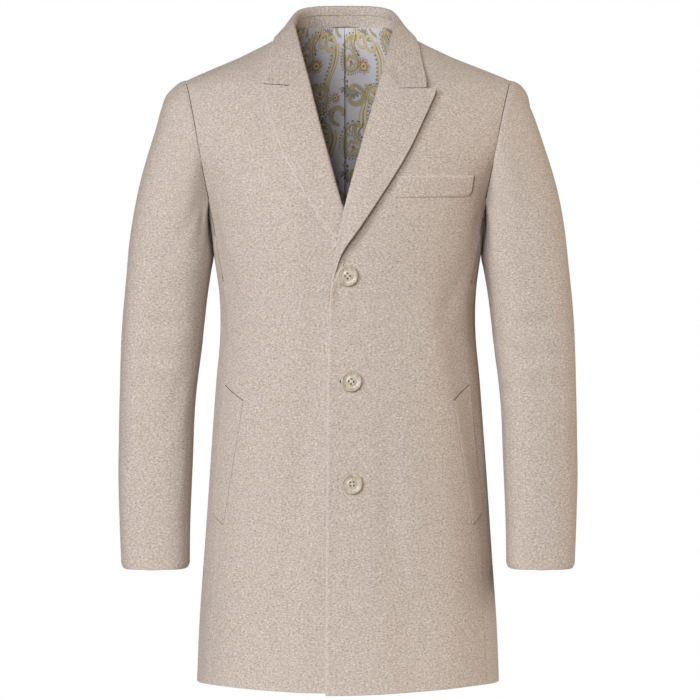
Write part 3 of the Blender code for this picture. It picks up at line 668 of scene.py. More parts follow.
def side_grid():
    """Angles and heights between the two side seams; the upper edge follows the armhole."""
    share = lines(SIDE_WIDTH, PANEL_STEP, SEAM_ROUND)
    turns = SIDE_TURN + (2 * np.pi - 2 * SIDE_TURN) * share
    top_angle, top_z = loop_angle(turns), loop_point(turns)[1]
    rows = (SKIRT_Z[:, None] - HEM) / (SEAM_TOP - HEM)
    gap = seam_gap(SKIRT_Z)
    start = np.radians(read(SIDE_SEAMS, SKIRT_Z, 1)) + gap
    end = np.radians(read(SIDE_SEAMS, SKIRT_Z, 2)) - gap
    start[-1], end[-1] = top_angle[0] + gap[-1], top_angle[-1] - gap[-1]
    angle = start[:, None] + (end - start)[:, None] * share
    near_top = ease((SKIRT_Z[:, None] - SIDE_FREE) / (SEAM_TOP - SIDE_FREE))
    angle[:, 1:-1] += (near_top * (top_angle - angle[-1]))[:, 1:-1]
    return angle, HEM + rows * (top_z - HEM)


for hand, flip in HANDS:
    turn, height = side_grid()
    panel = body_half(turn, height, flip)
    piece = add_cloth("side_" + hand, panel, hem_thickness(height), wool,
                      (AT_EDGE, AT_SEAM, AT_SEAM, AT_SEAM), flip, lined=True)

# Fronts
# Two fronts of the same wool, from the shoulder to the hem. The wearer's left front lies over
# the right one; above the closing both edges turn over into the lapels.
LAYER = WALL + 2 * SEAM      # depth of the under front below the top front
LAP_SIDE = (0.068, 0.038)    # distances between which the under front sinks below the top front
LAP_TOP = (-0.175, -0.215)   # heights between which it sinks
EDGE_RIDGE = 0.0011          # seam allowances raise the front edge
EDGE_RIDGE_WIDTH = 0.0045
TOP_FRONT_DROP = (0.0030, 0.10)  # how far the top front hangs below the under one, width of that
# Where the front edge begins to roll up below the lapel: height, half length, width, rise
ROLL_UP = (-0.350, 0.020, 0.0085, 0.0046)
ROLL_TUCK = 0.0042           # the front's edge ends this far inside the lapel's fold
BREAK = (-0.352, -0.285)     # heights between which the front's edge starts to turn over
FRONT_WIDTH = 0.25
FRONT_STEP = 0.0045
# Front edge and roll line of the top front: height, distance from the centre line
FRONT_EDGE = np.array([
    (-0.8850, -0.0300),
    (-0.6000, -0.0287),
    (-0.4500, -0.0272),
    (-0.3700, -0.0235),
    (-0.3240, -0.0189),
    (-0.2800, -0.0110),
    (-0.2360, 0.0003),
    (-0.1400, 0.0262),
    (-0.0455, 0.0515),
])
# Neck seam on the front, from the gorge to the shoulder: height, angle from the front
NECK_FRONT = np.array([(-0.0455, 35.0), (-0.0300, 47.0), (-0.0120, 63.0), (NECK_SIDE, 80.0)])


def turned_over(z):
    """How far the front's edge has turned over into a lapel at a height, 0 to 1."""
    return step_between(z, BREAK)


def front_limit():
    """Angle where a front begins on each row: front edge, roll line, then neck seam."""
    edge = read(FRONT_EDGE, PANEL_Z) + ROLL_TUCK * turned_over(PANEL_Z)
    neck = np.radians(read(NECK_FRONT, PANEL_Z))
    return np.where(PANEL_Z > NECK_FRONT[0, 0], neck, front_angle(edge, PANEL_Z))


def under_push(x, z):
    """How far the under front lies below the top front, fading out beside the closing."""
    return LAYER * step_between(x, LAP_SIDE) * step_between(z, LAP_TOP)


for hand, flip in HANDS:
    share = lines(FRONT_WIDTH, FRONT_STEP)
    start, end = front_limit()[:, None], outer_limit(False)[:, None]
    turn = start + (end - start) * share
    height = np.broadcast_to(PANEL_Z[:, None], turn.shape)
    inset = GIRTH * (turn - start)
    raised = EDGE_RIDGE * bell(inset / EDGE_RIDGE_WIDTH) * (1 - turned_over(height))
    if flip:
        raised = raised - under_push(body(turn, height)[..., 0], height)
    else:
        middle, half, width, rise = ROLL_UP
        raised = raised + rise * bell((height - middle) / half) * bell(inset / width)
    panel = body_half(turn, height, flip, raised)
    if not flip:
        panel[..., 2] -= TOP_FRONT_DROP[0] * bell(inset / TOP_FRONT_DROP[1]) * near_hem(height)
    thick = hem_thickness(height) + np.clip(raised, 0, EDGE_RIDGE)
    piece = add_cloth("front_" + hand, panel, thick, wool,
                      (AT_EDGE, AT_SEAM, AT_EDGE, AT_FLAT_SEAM), flip, lined=True)

# Sleeves
# Set-in sleeves of two pieces each, a wide top sleeve and a narrow under sleeve, sewn together
# along the front and back of the arm. They hang with a slight bend and soft creases.
ARM_GAP = 0.0003             # sleeve head clear of the armhole edge
SLEEVE_OVAL = 2.75
HEAD_DIP = (86, 28)          # degrees below level at which the cloth leaves the armhole: under, top
HEAD_PULL = (0.055, 0.140)   # how far that direction holds: under, top
ARM_PULL = (0.070, 0.240)    # how far the arm's direction holds above the first ring: under, top
HEAD_SPREAD = 0.25           # forward and backward swell of the head
HEAD_LEAN = 0.02             # outward lean of the outer side at the first ring
HEAD_ROWS = 9
ARM_ROWS = 10
FRONT_SEAM_TURN = np.radians(150)
BACK_SEAM_TURN = np.radians(255)
ARM_GIRTH = 0.058            # mean radius of the sleeve
SLEEVE_LENGTH = 0.66
SLEEVE_STEPS = (0.0045, 0.0048)  # spacing of a sleeve's points: round the arm, along it
FOLD_ROWS = (1.5, 3)         # row where folds and creases begin, rows over which they come in
FULL_ROWS = (0, 1.2)         # the same for the fullness of the head
ROPE = 0.0016                # roll of the sleeve head just past the armhole seam
ROPE_ROWS = (0.45, 0.42)     # row of that roll, its half length in rows
ROPE_TURN = (-0.2, 0.9)      # cosine of the turn where the roll begins, over how much it comes in
CUFF_ROUND = 0.0065          # rounding of the cuff's outer and inner corners
# Sleeve pieces: name, first and last turn, panel that each hangs on, cut, area
SLEEVE_PIECES = (
    ("sleeve_top_", BACK_SEAM_TURN - 2 * np.pi, FRONT_SEAM_TURN, "front_", (0.305, 0.690), 0.170),
    ("sleeve_under_", FRONT_SEAM_TURN, BACK_SEAM_TURN, "side_", (0.135, 0.560), 0.062),
)
# Sleeve below its head: height, outer edge, inner edge, middle in depth, half depth
SLEEVE = np.array([
    (-0.304, 0.3036, 0.1862, 0.000, 0.072),
    (-0.359, 0.3087, 0.1945, -0.002, 0.069),
    (-0.414, 0.3118, 0.2003, -0.005, 0.066),
    (-0.497, 0.3137, 0.2100, -0.011, 0.061),
    (-0.580, 0.3150, 0.2133, -0.019, 0.056),
    (-0.662, 0.3125, 0.2163, -0.027, 0.051),
    (-0.7258, 0.3095, 0.2168, -0.033, 0.048),
])
# Large soft folds of the sleeve: turn from the outer side, height, half turn, half length, depth
SLEEVE_FOLDS = np.array([
    (95, -0.395, 38, 0.013, -0.0035),
    (100, -0.435, 34, 0.014, -0.0040),
    (85, -0.475, 40, 0.013, -0.0025),
    (262, -0.420, 36, 0.022, 0.0030),
    (120, -0.345, 30, 0.016, -0.0025),
    (40, -0.560, 30, 0.030, -0.0020),
    (208, -0.284, 26, 0.020, 0.0045),
])
# Fullness of each sleeve head, in the same columns
HEAD_FOLDS = {
    "left": np.array([(0, -0.140, 60, 0.050, -0.0026), (0, -0.066, 60, 0.012, 0.0016)]),
    "right": np.array([(0, -0.092, 60, 0.020, 0.0040), (0, -0.150, 50, 0.030, -0.0008)]),
}
# Creases of each sleeve: turn, height, half width, half length, lean in degrees, depth
SLEEVE_CREASES = {
    "left": np.array([
        (140, -0.420, 0.008, 0.040, 62, -0.0016),
        (128, -0.500, 0.010, 0.045, 55, -0.0016),
        (60, -0.640, 0.013, 0.060, 10, -0.0010),
        (20, -0.330, 0.014, 0.070, -12, -0.0012),
        (105, -0.265, 0.009, 0.050, 20, -0.0016),
        (240, -0.400, 0.012, 0.040, 70, -0.0022),
        (285, -0.470, 0.012, 0.050, -60, -0.0020),
        (300, -0.620, 0.014, 0.080, 6, -0.0014),
    ]),
    "right": np.array([
        (132, -0.225, 0.008, 0.042, 0, -0.0038),
        (115, -0.500, 0.016, 0.060, 17, -0.0026),
        (118, -0.585, 0.014, 0.055, 10, -0.0012),
        (70, -0.600, 0.014, 0.070, 8, -0.0010),
        (16, -0.360, 0.014, 0.060, -10, -0.0012),
        (105, -0.260, 0.009, 0.050, 20, -0.0016),
        (238, -0.380, 0.012, 0.040, 66, -0.0020),
        (288, -0.490, 0.012, 0.045, -62, -0.0022),
        (305, -0.640, 0.014, 0.075, 4, -0.0013),
    ]),
}


def clear_of_body(points, clearance):
    """Points moved out along the body's normal wherever they come closer than a clearance."""
    for _ in range(3):
        angle = np.arctan2(points[..., 0], -points[..., 1])
        place = place_of(points[..., 2])
        normal = oval_normal(angle, place)
        height = np.sum((points - oval(angle, place)) * normal, axis=-1)
        points = points + np.clip(clearance - height, 0, None)[..., None] * normal
    return points


def sleeve_form(turn, row):
    """Sleeve: a head curving from the armhole to the upper arm, then oval rings to the cuff.

    The head is a cubic arc that leaves the armhole in one direction and meets the arm in another.
    At the cuff the rings narrow along a quarter circle.
    """
    ring = np.clip((row - HEAD_ROWS) / ARM_ROWS, 0, 1) * (len(SLEEVE) - 1)
    z, outer, inner, middle, half = np.moveaxis(along(SLEEVE, ring), -1, 0)
    low = np.clip(1 - (z - SLEEVE[-1, 0]) / CUFF_ROUND, 0, 1)
    wide = (outer - inner) / 2 - CUFF_ROUND * (1 - np.sqrt(1 - low ** 2))
    x = (outer + inner) / 2 + wide * power(np.cos(turn), 2 / SLEEVE_OVAL)
    arm = np.stack([x, middle - half * power(np.sin(turn), 2 / SLEEVE_OVAL), z], -1)
    start = oval(loop_angle(turn), place_of(loop_point(turn)[1])) + (ARM_GAP, 0, 0)
    part = np.clip(row / HEAD_ROWS, 0, 1)[..., None]
    top = (1 + np.cos(turn)) / 2
    dip = np.radians(blend(HEAD_DIP, top))
    leave = np.stack([np.cos(dip), -HEAD_SPREAD * np.sin(turn), -np.sin(dip)], -1)
    leave = leave * blend(HEAD_PULL, top)[..., None]
    meet = np.stack([HEAD_LEAN * top, np.zeros_like(top), -blend(ARM_PULL, top)], -1)
    return np.where(row[..., None] < HEAD_ROWS, arc(part, start, leave, arm, meet), arm)


def comes_in(x, begin, span):
    """Soft step from 0 where something begins to 1 a span further on."""
    return ease((x - begin) / span)


def sleeve_grid(first, last, hand):
    """Top or under sleeve between two turns: the form, its folds and creases along its normals."""
    share = lines((last - first) * ARM_GIRTH, SLEEVE_STEPS[0], SEAM_ROUND)
    rows = (HEAD_ROWS + ARM_ROWS) * lines(SLEEVE_LENGTH, SLEEVE_STEPS[1])
    turn, row = np.meshgrid(first + (last - first) * share, rows)
    points = clear_of_body(sleeve_form(turn, row), ARM_GAP)
    normal = unit(np.cross(np.gradient(points, axis=1), np.gradient(points, axis=0)))
    near_cuff = (-20, 5)
    outward = points[near_cuff] - points[near_cuff[0]].mean(0)
    normal = normal * np.sign(np.sum(normal[near_cuff] * outward))
    z = points[..., 2]
    lift = folds(SLEEVE_FOLDS, turn, z) + creases(SLEEVE_CREASES[hand], turn, z, ARM_GIRTH)
    lift = lift * comes_in(row, *FOLD_ROWS)
    lift = lift + folds(HEAD_FOLDS[hand], turn, z) * comes_in(row, *FULL_ROWS)
    crown = comes_in(np.cos(turn), *ROPE_TURN)
    lift = lift + ROPE * crown * bell((row - ROPE_ROWS[0]) / ROPE_ROWS[1])
    return points + lift[..., None] * normal


def cuff_thickness(points):
    """Thickness of a sleeve, with the turned-up hem inside its cuff."""
    rise = lengths(points[::-1], 0)[::-1]
    return WALL + HEM_THICK * ease((HEM_DEPTH - rise) / HEM_SLOPE)


for hand, flip in HANDS:
    for name, first, last, panel_name, cut, area in SLEEVE_PIECES:
        panel = sleeve_grid(first, last, hand)
        piece = add_cloth(name + hand, panel, cuff_thickness(panel), wool,
                          (AT_FLAT_SEAM, AT_EDGE, AT_SEAM, AT_SEAM), flip,
                          uv=flat_places(panel, -1), lined=True)

# Lining
# Smooth printed lining inside the back, in two halves. The wearer's right half ends in a folded
# edge down the centre and lies over the left one, which leaves ease across the shoulders.
LINING_WALL = 0.0012
LINING_GAP = 0.0014          # clearance of the lining inside the back
LINING_TOP = (0.0272, 0.0220)  # height of the lining's upper edge: at the centre back, at the side
LINING_LOW = -0.840
LINING_SHARE = 0.667         # share of the back's width that is lined
PLEAT_RISE = 0.0050          # both halves stand this far off the back beside the fold
PLEAT_WIDTH = 0.22           # share of the half over which they rise
PLEAT_FLAT = (0.80, 0.035)   # how much flatter the fold is at the upper edge, and from how far below
PLEAT_DIVE = 0.045           # share of the under half that turns back below the folded edge
LINING_STEP = 0.004
LINING_GIRTH = 0.13          # turns an angle into a width of the print
REPEAT = (0.084, 0.122)      # width and height of the print's repeat
GROUND = (0.770, 0.735, 0.795)
GREY = (0.130, 0.125, 0.130)
SLATE = (0.290, 0.280, 0.285)
OCHRE = (0.640, 0.490, 0.215)
CREAM = (0.800, 0.730, 0.590)
RUST = (0.560, 0.250, 0.105)
OLIVE = (0.330, 0.325, 0.260)
# Motifs in one repeat of the print: across, up, turn in degrees, size
BOTEHS = ((0.010, -0.004, 20, 0.027), (-0.032, 0.052, 205, 0.022))
PLUMES = ((-0.022, -0.022, 8, 0.036), (0.034, 0.040, 190, 0.034))
CURLS = ((-0.006, 0.032, 30, 0.013), (0.018, 0.058, 210, 0.014))
FANS = ((-0.038, 0.012, -25, 0.016), (0.014, -0.050, 160, 0.017))
FLOWERS = ((0.036, -0.022, 10, 0.012), (-0.012, 0.056, 30, 0.008))
SPRIGS = ((0.030, 0.006, 100, 0.013), (-0.004, -0.046, 250, 0.012), (-0.020, 0.026, 20, 0.011))
# Round shapes that together make a paisley leaf: sideways, up, radius
BOTEH_ROUNDS = np.array([
    (0.00, -0.42, 0.56),
    (0.02, -0.02, 0.46),
    (0.12, 0.30, 0.33),
    (0.30, 0.53, 0.22),
    (0.52, 0.62, 0.13),
    (0.70, 0.56, 0.08),
])


class Wire:
    """A value that changes over the cloth; sums and products of wires add Math nodes."""

    def __init__(self, tree, socket):
        self.tree, self.socket = tree, socket

    def math(self, operation, *others, clamp=False):
        """Result of a Math node on this wire and others, which may be plain numbers."""
        node = put(self.tree, "ShaderNodeMath", operation=operation, use_clamp=clamp)
        values = (value.socket if isinstance(value, Wire) else value for value in (self, *others))
        feed(self.tree, node, enumerate(values))
        return Wire(self.tree, node.outputs[0])

    def __add__(self, other):
        return self.math("ADD", other)

    def __sub__(self, other):
        return self.math("SUBTRACT", other)

    def __mul__(self, other):
        return self.math("MULTIPLY", other)

    def below(self, level, soft=0.04):
        """Mask: 1 where the value is under a level, 0 above it, with a soft edge."""
        return self.math("MULTIPLY_ADD", -1 / soft, level / soft + 0.5, clamp=True)

    def between(self, low, high, soft=0.04):
        """Mask: 1 between two levels."""
        return (self - (low + high) / 2).math("ABSOLUTE").below((high - low) / 2, soft)

    def wave(self, count):
        """Sine of the value times a count."""
        return (self * count).math("SINE")

    def away(self, side, up):
        """Distance of a place from a point."""
        node = put(self.tree, "ShaderNodeVectorMath", [
            (0, self.socket), (1, (side, up, 0))], operation="DISTANCE")
        return Wire(self.tree, node.outputs["Value"])


def motif_group(name, layers):
    """Node group of one motif: lays its colours over the one beneath, each through its mask.

    The place is in motif units; layers gives colours and masks from the lowest up.
    """
    group = bpy.data.node_groups.new(name, "ShaderNodeTree")
    given, result = group_sockets(
        group,
        [("Vector", "NodeSocketVector"), ("Under", "NodeSocketColor")],
        [("Color", "NodeSocketColor")],
    )
    apart = put(group, "ShaderNodeSeparateXYZ", [("Vector", given["Vector"])])
    x, y = Wire(group, apart.outputs["X"]), Wire(group, apart.outputs["Y"])
    colour = given["Under"]
    for tint, mask in layers(Wire(group, given["Vector"]), x, y):
        mix = put(group, "ShaderNodeMix", [
            (0, mask.socket), (6, colour), (7, (*tint, 1))], data_type="RGBA")
        colour = mix.outputs[2]
    group.links.new(colour, result["Color"])
    return group


def round_middle(x, y):
    """Distance from the middle and turn about it."""
    return (x * x + y * y).math("SQRT"), x.math("ARCTAN2", y)


def draw_boteh(place, x, y):
    """Paisley leaf: distance to a curved row of shrinking circles, drawn in bands inwards.

    Bands: dotted fringe outside, ochre rim, grey line, hatched cream, grey line, then a heart of
    ochre veins on the ground with a rust eye.
    """
    reach = None
    for side, up, radius in BOTEH_ROUNDS:
        ring = place.away(side, up) - radius
        reach = ring if reach is None else reach.math("SMOOTH_MIN", ring, 0.10)
    turn = x.math("ARCTAN2", y + 0.35)
    dots = turn.wave(30).below(-0.1, 0.5)
    veins = (y * 15.0 + x.math("ABSOLUTE") * 12.0).math("SINE").below(-0.2, 0.5)
    yield GREY, reach.between(0.07, 0.14) * dots
    yield OCHRE, reach.below(0.03)
    yield SLATE, reach.between(-0.105, -0.07)
    yield CREAM, reach.below(-0.11)
    yield OLIVE, reach.between(-0.20, -0.14) * dots
    yield SLATE, reach.between(-0.25, -0.22)
    yield GROUND, reach.below(-0.255)
    yield OCHRE, reach.below(-0.28) * veins
    yield RUST, reach.below(-0.47)


def draw_plume(place, x, y):
    """Long feather: a band on a bent spine, wide at its head, with ticks on one side and a curled tip."""
    off_spine = x - (y * 1.9 + 0.4).math("SINE") * 0.26
    band = off_spine.math("ABSOLUTE") - y * 0.06 - 0.14
    stretch = y.between(-1.0, 0.82, 0.06)
    ticks = y.wave(42).below(0.0, 0.6)
    tip = place.away(-0.02, 0.84)
    yield SLATE, band.between(0.02, 0.11) * off_spine.below(0) * ticks * stretch
    yield OCHRE, band.below(0.02) * stretch
    yield CREAM, band.between(-0.11, -0.04) * stretch
    yield SLATE, off_spine.between(-0.015, 0.015) * stretch
    yield OCHRE, tip.between(0.20, 0.33)
    yield CREAM, tip.between(0.24, 0.28)


def draw_curl(place, x, y):
    """Scroll: a spiral band that narrows towards its ends, ochre with grey lines and a ladder."""
    reach, turn = round_middle(x, y)
    off_line = (reach + turn * 0.12 - 0.80).math("ABSOLUTE")
    band = off_line + turn * turn * 0.018 - 0.21
    stretch = turn.between(-2.7, 2.5, 0.1)
    ladder = turn.wave(34).below(0.0, 0.5)
    yield GREY, band.between(0.07, 0.13) * ladder * stretch
    yield OCHRE, band.below(0.02) * stretch
    yield OLIVE, off_line.below(0.07) * ladder * stretch
    yield SLATE, band.between(-0.02, 0.02) * stretch


def draw_fan(place, x, y):
    """Feathery leaf: rays from one point whose tips swing in and out round the rim."""
    reach, turn = round_middle(x, y)
    ray = turn.wave(9).math("ABSOLUTE")
    rim = reach - ray * 0.30
    spread = turn.math("ABSOLUTE").below(1.25, 0.08)
    yield OLIVE, rim.below(0.72, 0.06) * spread
    yield CREAM, ray.below(0.35, 0.3) * reach.between(0.30, 0.62) * spread
    yield SLATE, rim.between(0.68, 0.73) * spread
    yield OCHRE, reach.below(0.26)


def draw_flower(place, x, y):
    """Flower: petals whose reach waves eight times round, a cream ring and a dark eye."""
    reach, turn = round_middle(x, y)
    petal = reach - turn.wave(8) * 0.10
    yield SLATE, petal.between(0.80, 0.88, 0.08)
    yield RUST, petal.below(0.66, 0.10)
    yield OCHRE, petal.below(0.44, 0.10)
    yield CREAM, reach.between(0.20, 0.32, 0.08)
    yield GREY, reach.below(0.14, 0.08)


def draw_sprig(place, x, y):
    """Row of dots on a circle and a fine rust stem on a smaller one, over part of the turn."""
    reach, turn = round_middle(x, y)
    stretch = turn.between(-1.7, 1.5, 0.1)
    dots = turn.wave(11).below(-0.05, 0.5)
    inner = turn.wave(8).below(0.0, 0.5)
    yield GREY, reach.between(0.86, 1.04, 0.08) * dots * stretch
    yield RUST, reach.between(0.60, 0.68, 0.06) * stretch
    yield OLIVE, reach.between(0.46, 0.60, 0.08) * inner * stretch


def lining_material():
    """Printed lining: a repeat of paisley leaves, scrolls and flowers on a smooth lustrous ground."""
    material, tree, shader = new_material("paisley_lining")
    flat = put(tree, "ShaderNodeTexCoord").outputs["UV"]
    waver = put(tree, "ShaderNodeTexNoise", [("Vector", flat), ("Scale", 60.0), ("Detail", 2.0)])
    drawn_by_hand = put(tree, "ShaderNodeVectorMath", [
        (0, waver.outputs["Color"]), (1, (0.004, 0.004, 0)), (2, flat)], operation="MULTIPLY_ADD")
    thread = put(tree, "ShaderNodeTexNoise", [("Vector", flat), ("Scale", 700.0), ("Detail", 2.0)])
    ground = put(tree, "ShaderNodeValToRGB", [("Fac", thread.outputs["Fac"])])
    stops = ground.color_ramp.elements
    stops[0].position, stops[0].color = 0.25, (*(np.array(GROUND) * 0.90), 1)
    stops[1].position, stops[1].color = 0.75, (*(np.array(GROUND) * 1.08), 1)
    colour = ground.outputs["Color"]
    motifs = (
        (motif_group("sprig", draw_sprig), SPRIGS),
        (motif_group("fan", draw_fan), FANS),
        (motif_group("plume", draw_plume), PLUMES),
        (motif_group("curl", draw_curl), CURLS),
        (motif_group("boteh", draw_boteh), BOTEHS),
        (motif_group("flower", draw_flower), FLOWERS),
    )
    for group, table in motifs:
        for across, height, degrees, size in table:
            low = (across - REPEAT[0] / 2, height - REPEAT[1] / 2, 0)
            high = (across + REPEAT[0] / 2, height + REPEAT[1] / 2, 1)
            cell = put(tree, "ShaderNodeVectorMath", [
                (0, drawn_by_hand.outputs[0]), (1, high), (2, low)], operation="WRAP")
            place = put(tree, "ShaderNodeMapping", [
                ("Vector", cell.outputs[0]), ("Location", (across, height, 0)),
                ("Rotation", (0, 0, np.radians(degrees))), ("Scale", (size, size, 1))],
                vector_type="TEXTURE")
            drawn = put(tree, "ShaderNodeGroup", [
                ("Vector", place.outputs[0]), ("Under", colour)], node_tree=group)
            colour = drawn.outputs["Color"]
    ribs = put(tree, "ShaderNodeTexWave", [("Vector", flat), ("Scale", 900.0), ("Distortion", 0.4)],
               bands_direction="DIAGONAL")
    bump = put(tree, "ShaderNodeBump", [
        ("Height", ribs.outputs["Fac"]), ("Strength", 0.10), ("Distance", 0.0002)])
    feed(tree, shader, [
        ("Base Color", colour), ("Normal", bump.outputs["Normal"]), ("Roughness", 0.42),
        ("Specular IOR Level", 0.35)])
    return material


lining = lining_material()
for hand, flip in HANDS:
    turn, height = back_grid(LINING_STEP)
    turn = np.pi + (turn - np.pi) * LINING_SHARE
    keep = PANEL_Z > LINING_LOW
    turn, height = turn[keep], height[keep]
    top = blend(LINING_TOP, np.sin(turn) ** 2)
    height = height + ease((height - ARM_TOP) / (height[-1:] - ARM_TOP)) * (top - height[-1:])
    width = np.pi - turn[:, -1:]
    share = (np.pi - turn) / width
    depth = np.full(turn.shape, WALL + LINING_GAP)
    rise = PLEAT_RISE * bell(share / PLEAT_WIDTH)
    rise = rise * (1 - PLEAT_FLAT[0] * ease(1 - (height[-1:] - height) / PLEAT_FLAT[1]))
    depth = depth + (rise if flip else rise * ease(share / PLEAT_DIVE))
    flat = np.stack([(np.pi - turn) * LINING_GIRTH * (-1 if flip else 1), height], -1)
    panel = body_half(turn, height, flip, -depth)
    piece = add_cloth("lining_" + hand, panel, LINING_WALL, lining,
                      (AT_EDGE, AT_EDGE, AT_EDGE, AT_EDGE), flip, facing=-1,
                      uv=flat)

# Collar stand
# A band of wool that stands up from the neck seam and carries the collar; its inner side shows
# in the neck, below the collar's fold.
STAND_END = 0.83             # the stand ends at this share of the neck seam, under the leaf
STAND_HEIGHT = 0.026
STAND_STEP = 0.0026
STAND_INSET = 3              # its foot lies this many seam gaps inside the neck seam
NECK_HALF = 0.5              # share of the neck seam from the centre back to the shoulder
NECK_CORNER = (0.12, 10)     # share of its front part that rounds the shoulder, turn there in degrees
# Points on the fold line of the collar, from the centre back to the gorge
COLLAR_FOLD = np.array([
    (0.0000, 0.0700, 0.0515),
    (0.0375, 0.0640, 0.0503),
    (0.0620, 0.0438, 0.0435),
    (0.0690, 0.0160, 0.0300),
    (0.0676, -0.0180, 0.0110),
    (0.0600, -0.0460, -0.0170),
    (0.0520, -0.0720, -0.0455),
])


def neck_seam(share):
    """Neck seam from the centre back, share 0, over the shoulder to the gorge, share 1."""
    back_part = np.clip(share / NECK_HALF, 0, 1)
    front_part = np.clip((share - NECK_HALF) / (1 - NECK_HALF), 0, 1)
    angle = np.pi - back_part * np.pi / 2
    back_z = NECK_SIDE + (NECK_BACK - NECK_SIDE) * np.cos(angle) ** 2
    corner, degrees = NECK_CORNER
    down = np.clip((front_part - corner) / (1 - corner), 0, 1)
    front_z = NECK_SIDE + (NECK_FRONT[0, 0] - NECK_SIDE) * down
    shoulder = np.radians(degrees) * np.clip(1 - front_part / corner, 0, 1)
    front_turn = np.radians(read(NECK_FRONT, front_z)) + shoulder
    height = np.where(share < NECK_HALF, back_z, front_z)
    return np.where(share < NECK_HALF, angle, front_turn), place_of(height)


def collar_fold(share):
    """Fold line of the collar from the centre back, share 0, to the gorge, share 1."""
    return along(COLLAR_FOLD, share * (len(COLLAR_FOLD) - 1))


def both_sides(left, right):
    """Whole collar grid from two halves whose first column is the centre back."""
    return np.concatenate([right[:, :0:-1] * (-1, 1, 1), left], axis=1)


def stand_base(share):
    """Foot of the stand: the neck seam, a little way into the neck along the body's surface."""
    base = oval(*neck_seam(share))
    into_neck = unit(np.cross(oval_normal(*neck_seam(share)), np.gradient(base, axis=0)))
    return base + STAND_INSET * SEAM * into_neck * np.sign(into_neck[:1, 2:])


# Columns of the half stand, close together at its end
stand_share = STAND_END * np.concatenate([np.linspace(0, 0.985, 66), [0.992, 0.997, 1]])
foot, head = stand_base(stand_share), collar_fold(stand_share)
rise = lines(STAND_HEIGHT, STAND_STEP, SEAM_ROUND)[:, None, None]
half_stand = blend((foot, head), rise)
stand = both_sides(half_stand, half_stand)
piece = add_cloth("collar_stand", stand, WALL, wool,
                  (AT_SEAM, AT_EDGE, AT_EDGE, AT_EDGE), facing=-1)

# Collar leaf
# The turned-down part of the collar, cut in one with a short fall inside the neck. It folds over
# the top of the stand, lies on the back and shoulders and ends at the gorge.
LAY = 0.0009                 # clearance of a piece that lies on a panel
LEAF_WALL = 0.0030
LEAF_LIFT = LAY + LEAF_WALL
LAPEL_WALL = 0.0035
LAPEL_LIFT = LAY + LAPEL_WALL
FOLD_WALL = 0.0015           # one layer of cloth where collar and lapels fold over
FOLD_RADIUS = 0.0043
INNER_FALL = (0.0085, 0.0120)  # length of the fall inside the neck: at the back, at the gorge
LEAF_ROLL = 0.11             # share of the leaf's span that leaves the fold level
LEAF_HUG = 0.46              # how long the leaf keeps close to the stand before it spreads
LEAF_CORNER = {"left": 0.80, "right": 0.90}  # share of the gorge covered by the leaf's end
GORGE = {
    "left": np.array([(0.0500, -0.0545), (0.0715, -0.0802), (0.1234, -0.0788)]),
    "right": np.array([(0.0505, -0.0505), (0.0731, -0.0735), (0.1150, -0.0705)]),
}
GORGE_BEND = 0.35            # share of the gorge that runs from the roll line to its bend
GORGE_GAP = (0.6, 4.2)       # gap above the gorge in seam gaps: up to its bend, how much more past it
GORGE_OPEN = (0.05, 0.07)    # shares of the gorge: how far before the bend it opens, over how far
ROLL_SWELL = {"left": 0.0060, "right": 0.0008}
SWELL_RISE = 0.13            # share of the width over which the swell rises beside the fold
SWELL_FALL = (0.2, 0.8)      # share where it begins to fall again, over how much of the width
SWELL_LOSS = 0.08            # how much it falls
# Shares of the collar's length where something begins, and over how much of it that comes in
LEAF_TURN = (0.45, 0.50)     # the fold turns from upright to lie on the chest
LEAF_SWELL = (0.80, 0.18)    # the outer edge swells like the lapel
LEAF_CLOSE = (0.80, 0.20)    # the rows bend into the gorge line
FALL_TURN = (0.50, 0.30)     # the fall inside the neck turns parallel to the leaf
LEAF_DOUBLE = 0.5            # share of the leaf over which its wall comes to full thickness
LEAF_DEPTH = 0.055
LEAF_STEP = 0.0028
# Points down the fall inside the neck, from its free edge to the fold
FALL_STEPS = (1, 0.985, 0.95, 0.88, 0.7, 0.45, 0.2)
FALL_ROLL = 10               # rows round the fold
# Outer edge of the collar leaf from the centre back: angle from the front, height
LEAF_EDGE = np.array([
    (180.0, 0.0030),
    (150.0, 0.0010),
    (118.0, 0.0005),
    (90.0, 0.0025),
    (73.0, -0.0100),
    (60.0, -0.0380),
    (53.5, -0.0715),
])
# How far along the gorge a place across the leaf ends: share of the leaf's span, share of its end
LEAF_TO_GORGE = np.array([(0, 0), (0.13, 0.19), (0.30, 0.39), (0.52, 0.58), (0.76, 0.78), (1, 1)])


def gorge(hand, share):
    """Gorge line from the roll line to the peak, with its bend: distance and height."""
    keys, corners = np.array([0, GORGE_BEND, 1]), GORGE[hand]
    return np.interp(share, keys, corners[:, 0]), np.interp(share, keys, corners[:, 1])


def roll_swell(hand, share):
    """How far collar end and lapel swell off the chest: a quick rise by the fold, less at the edge."""
    rise = 1 - np.exp(-share / SWELL_RISE)
    return ROLL_SWELL[hand] * rise * (1 - SWELL_LOSS * comes_in(share, *SWELL_FALL))


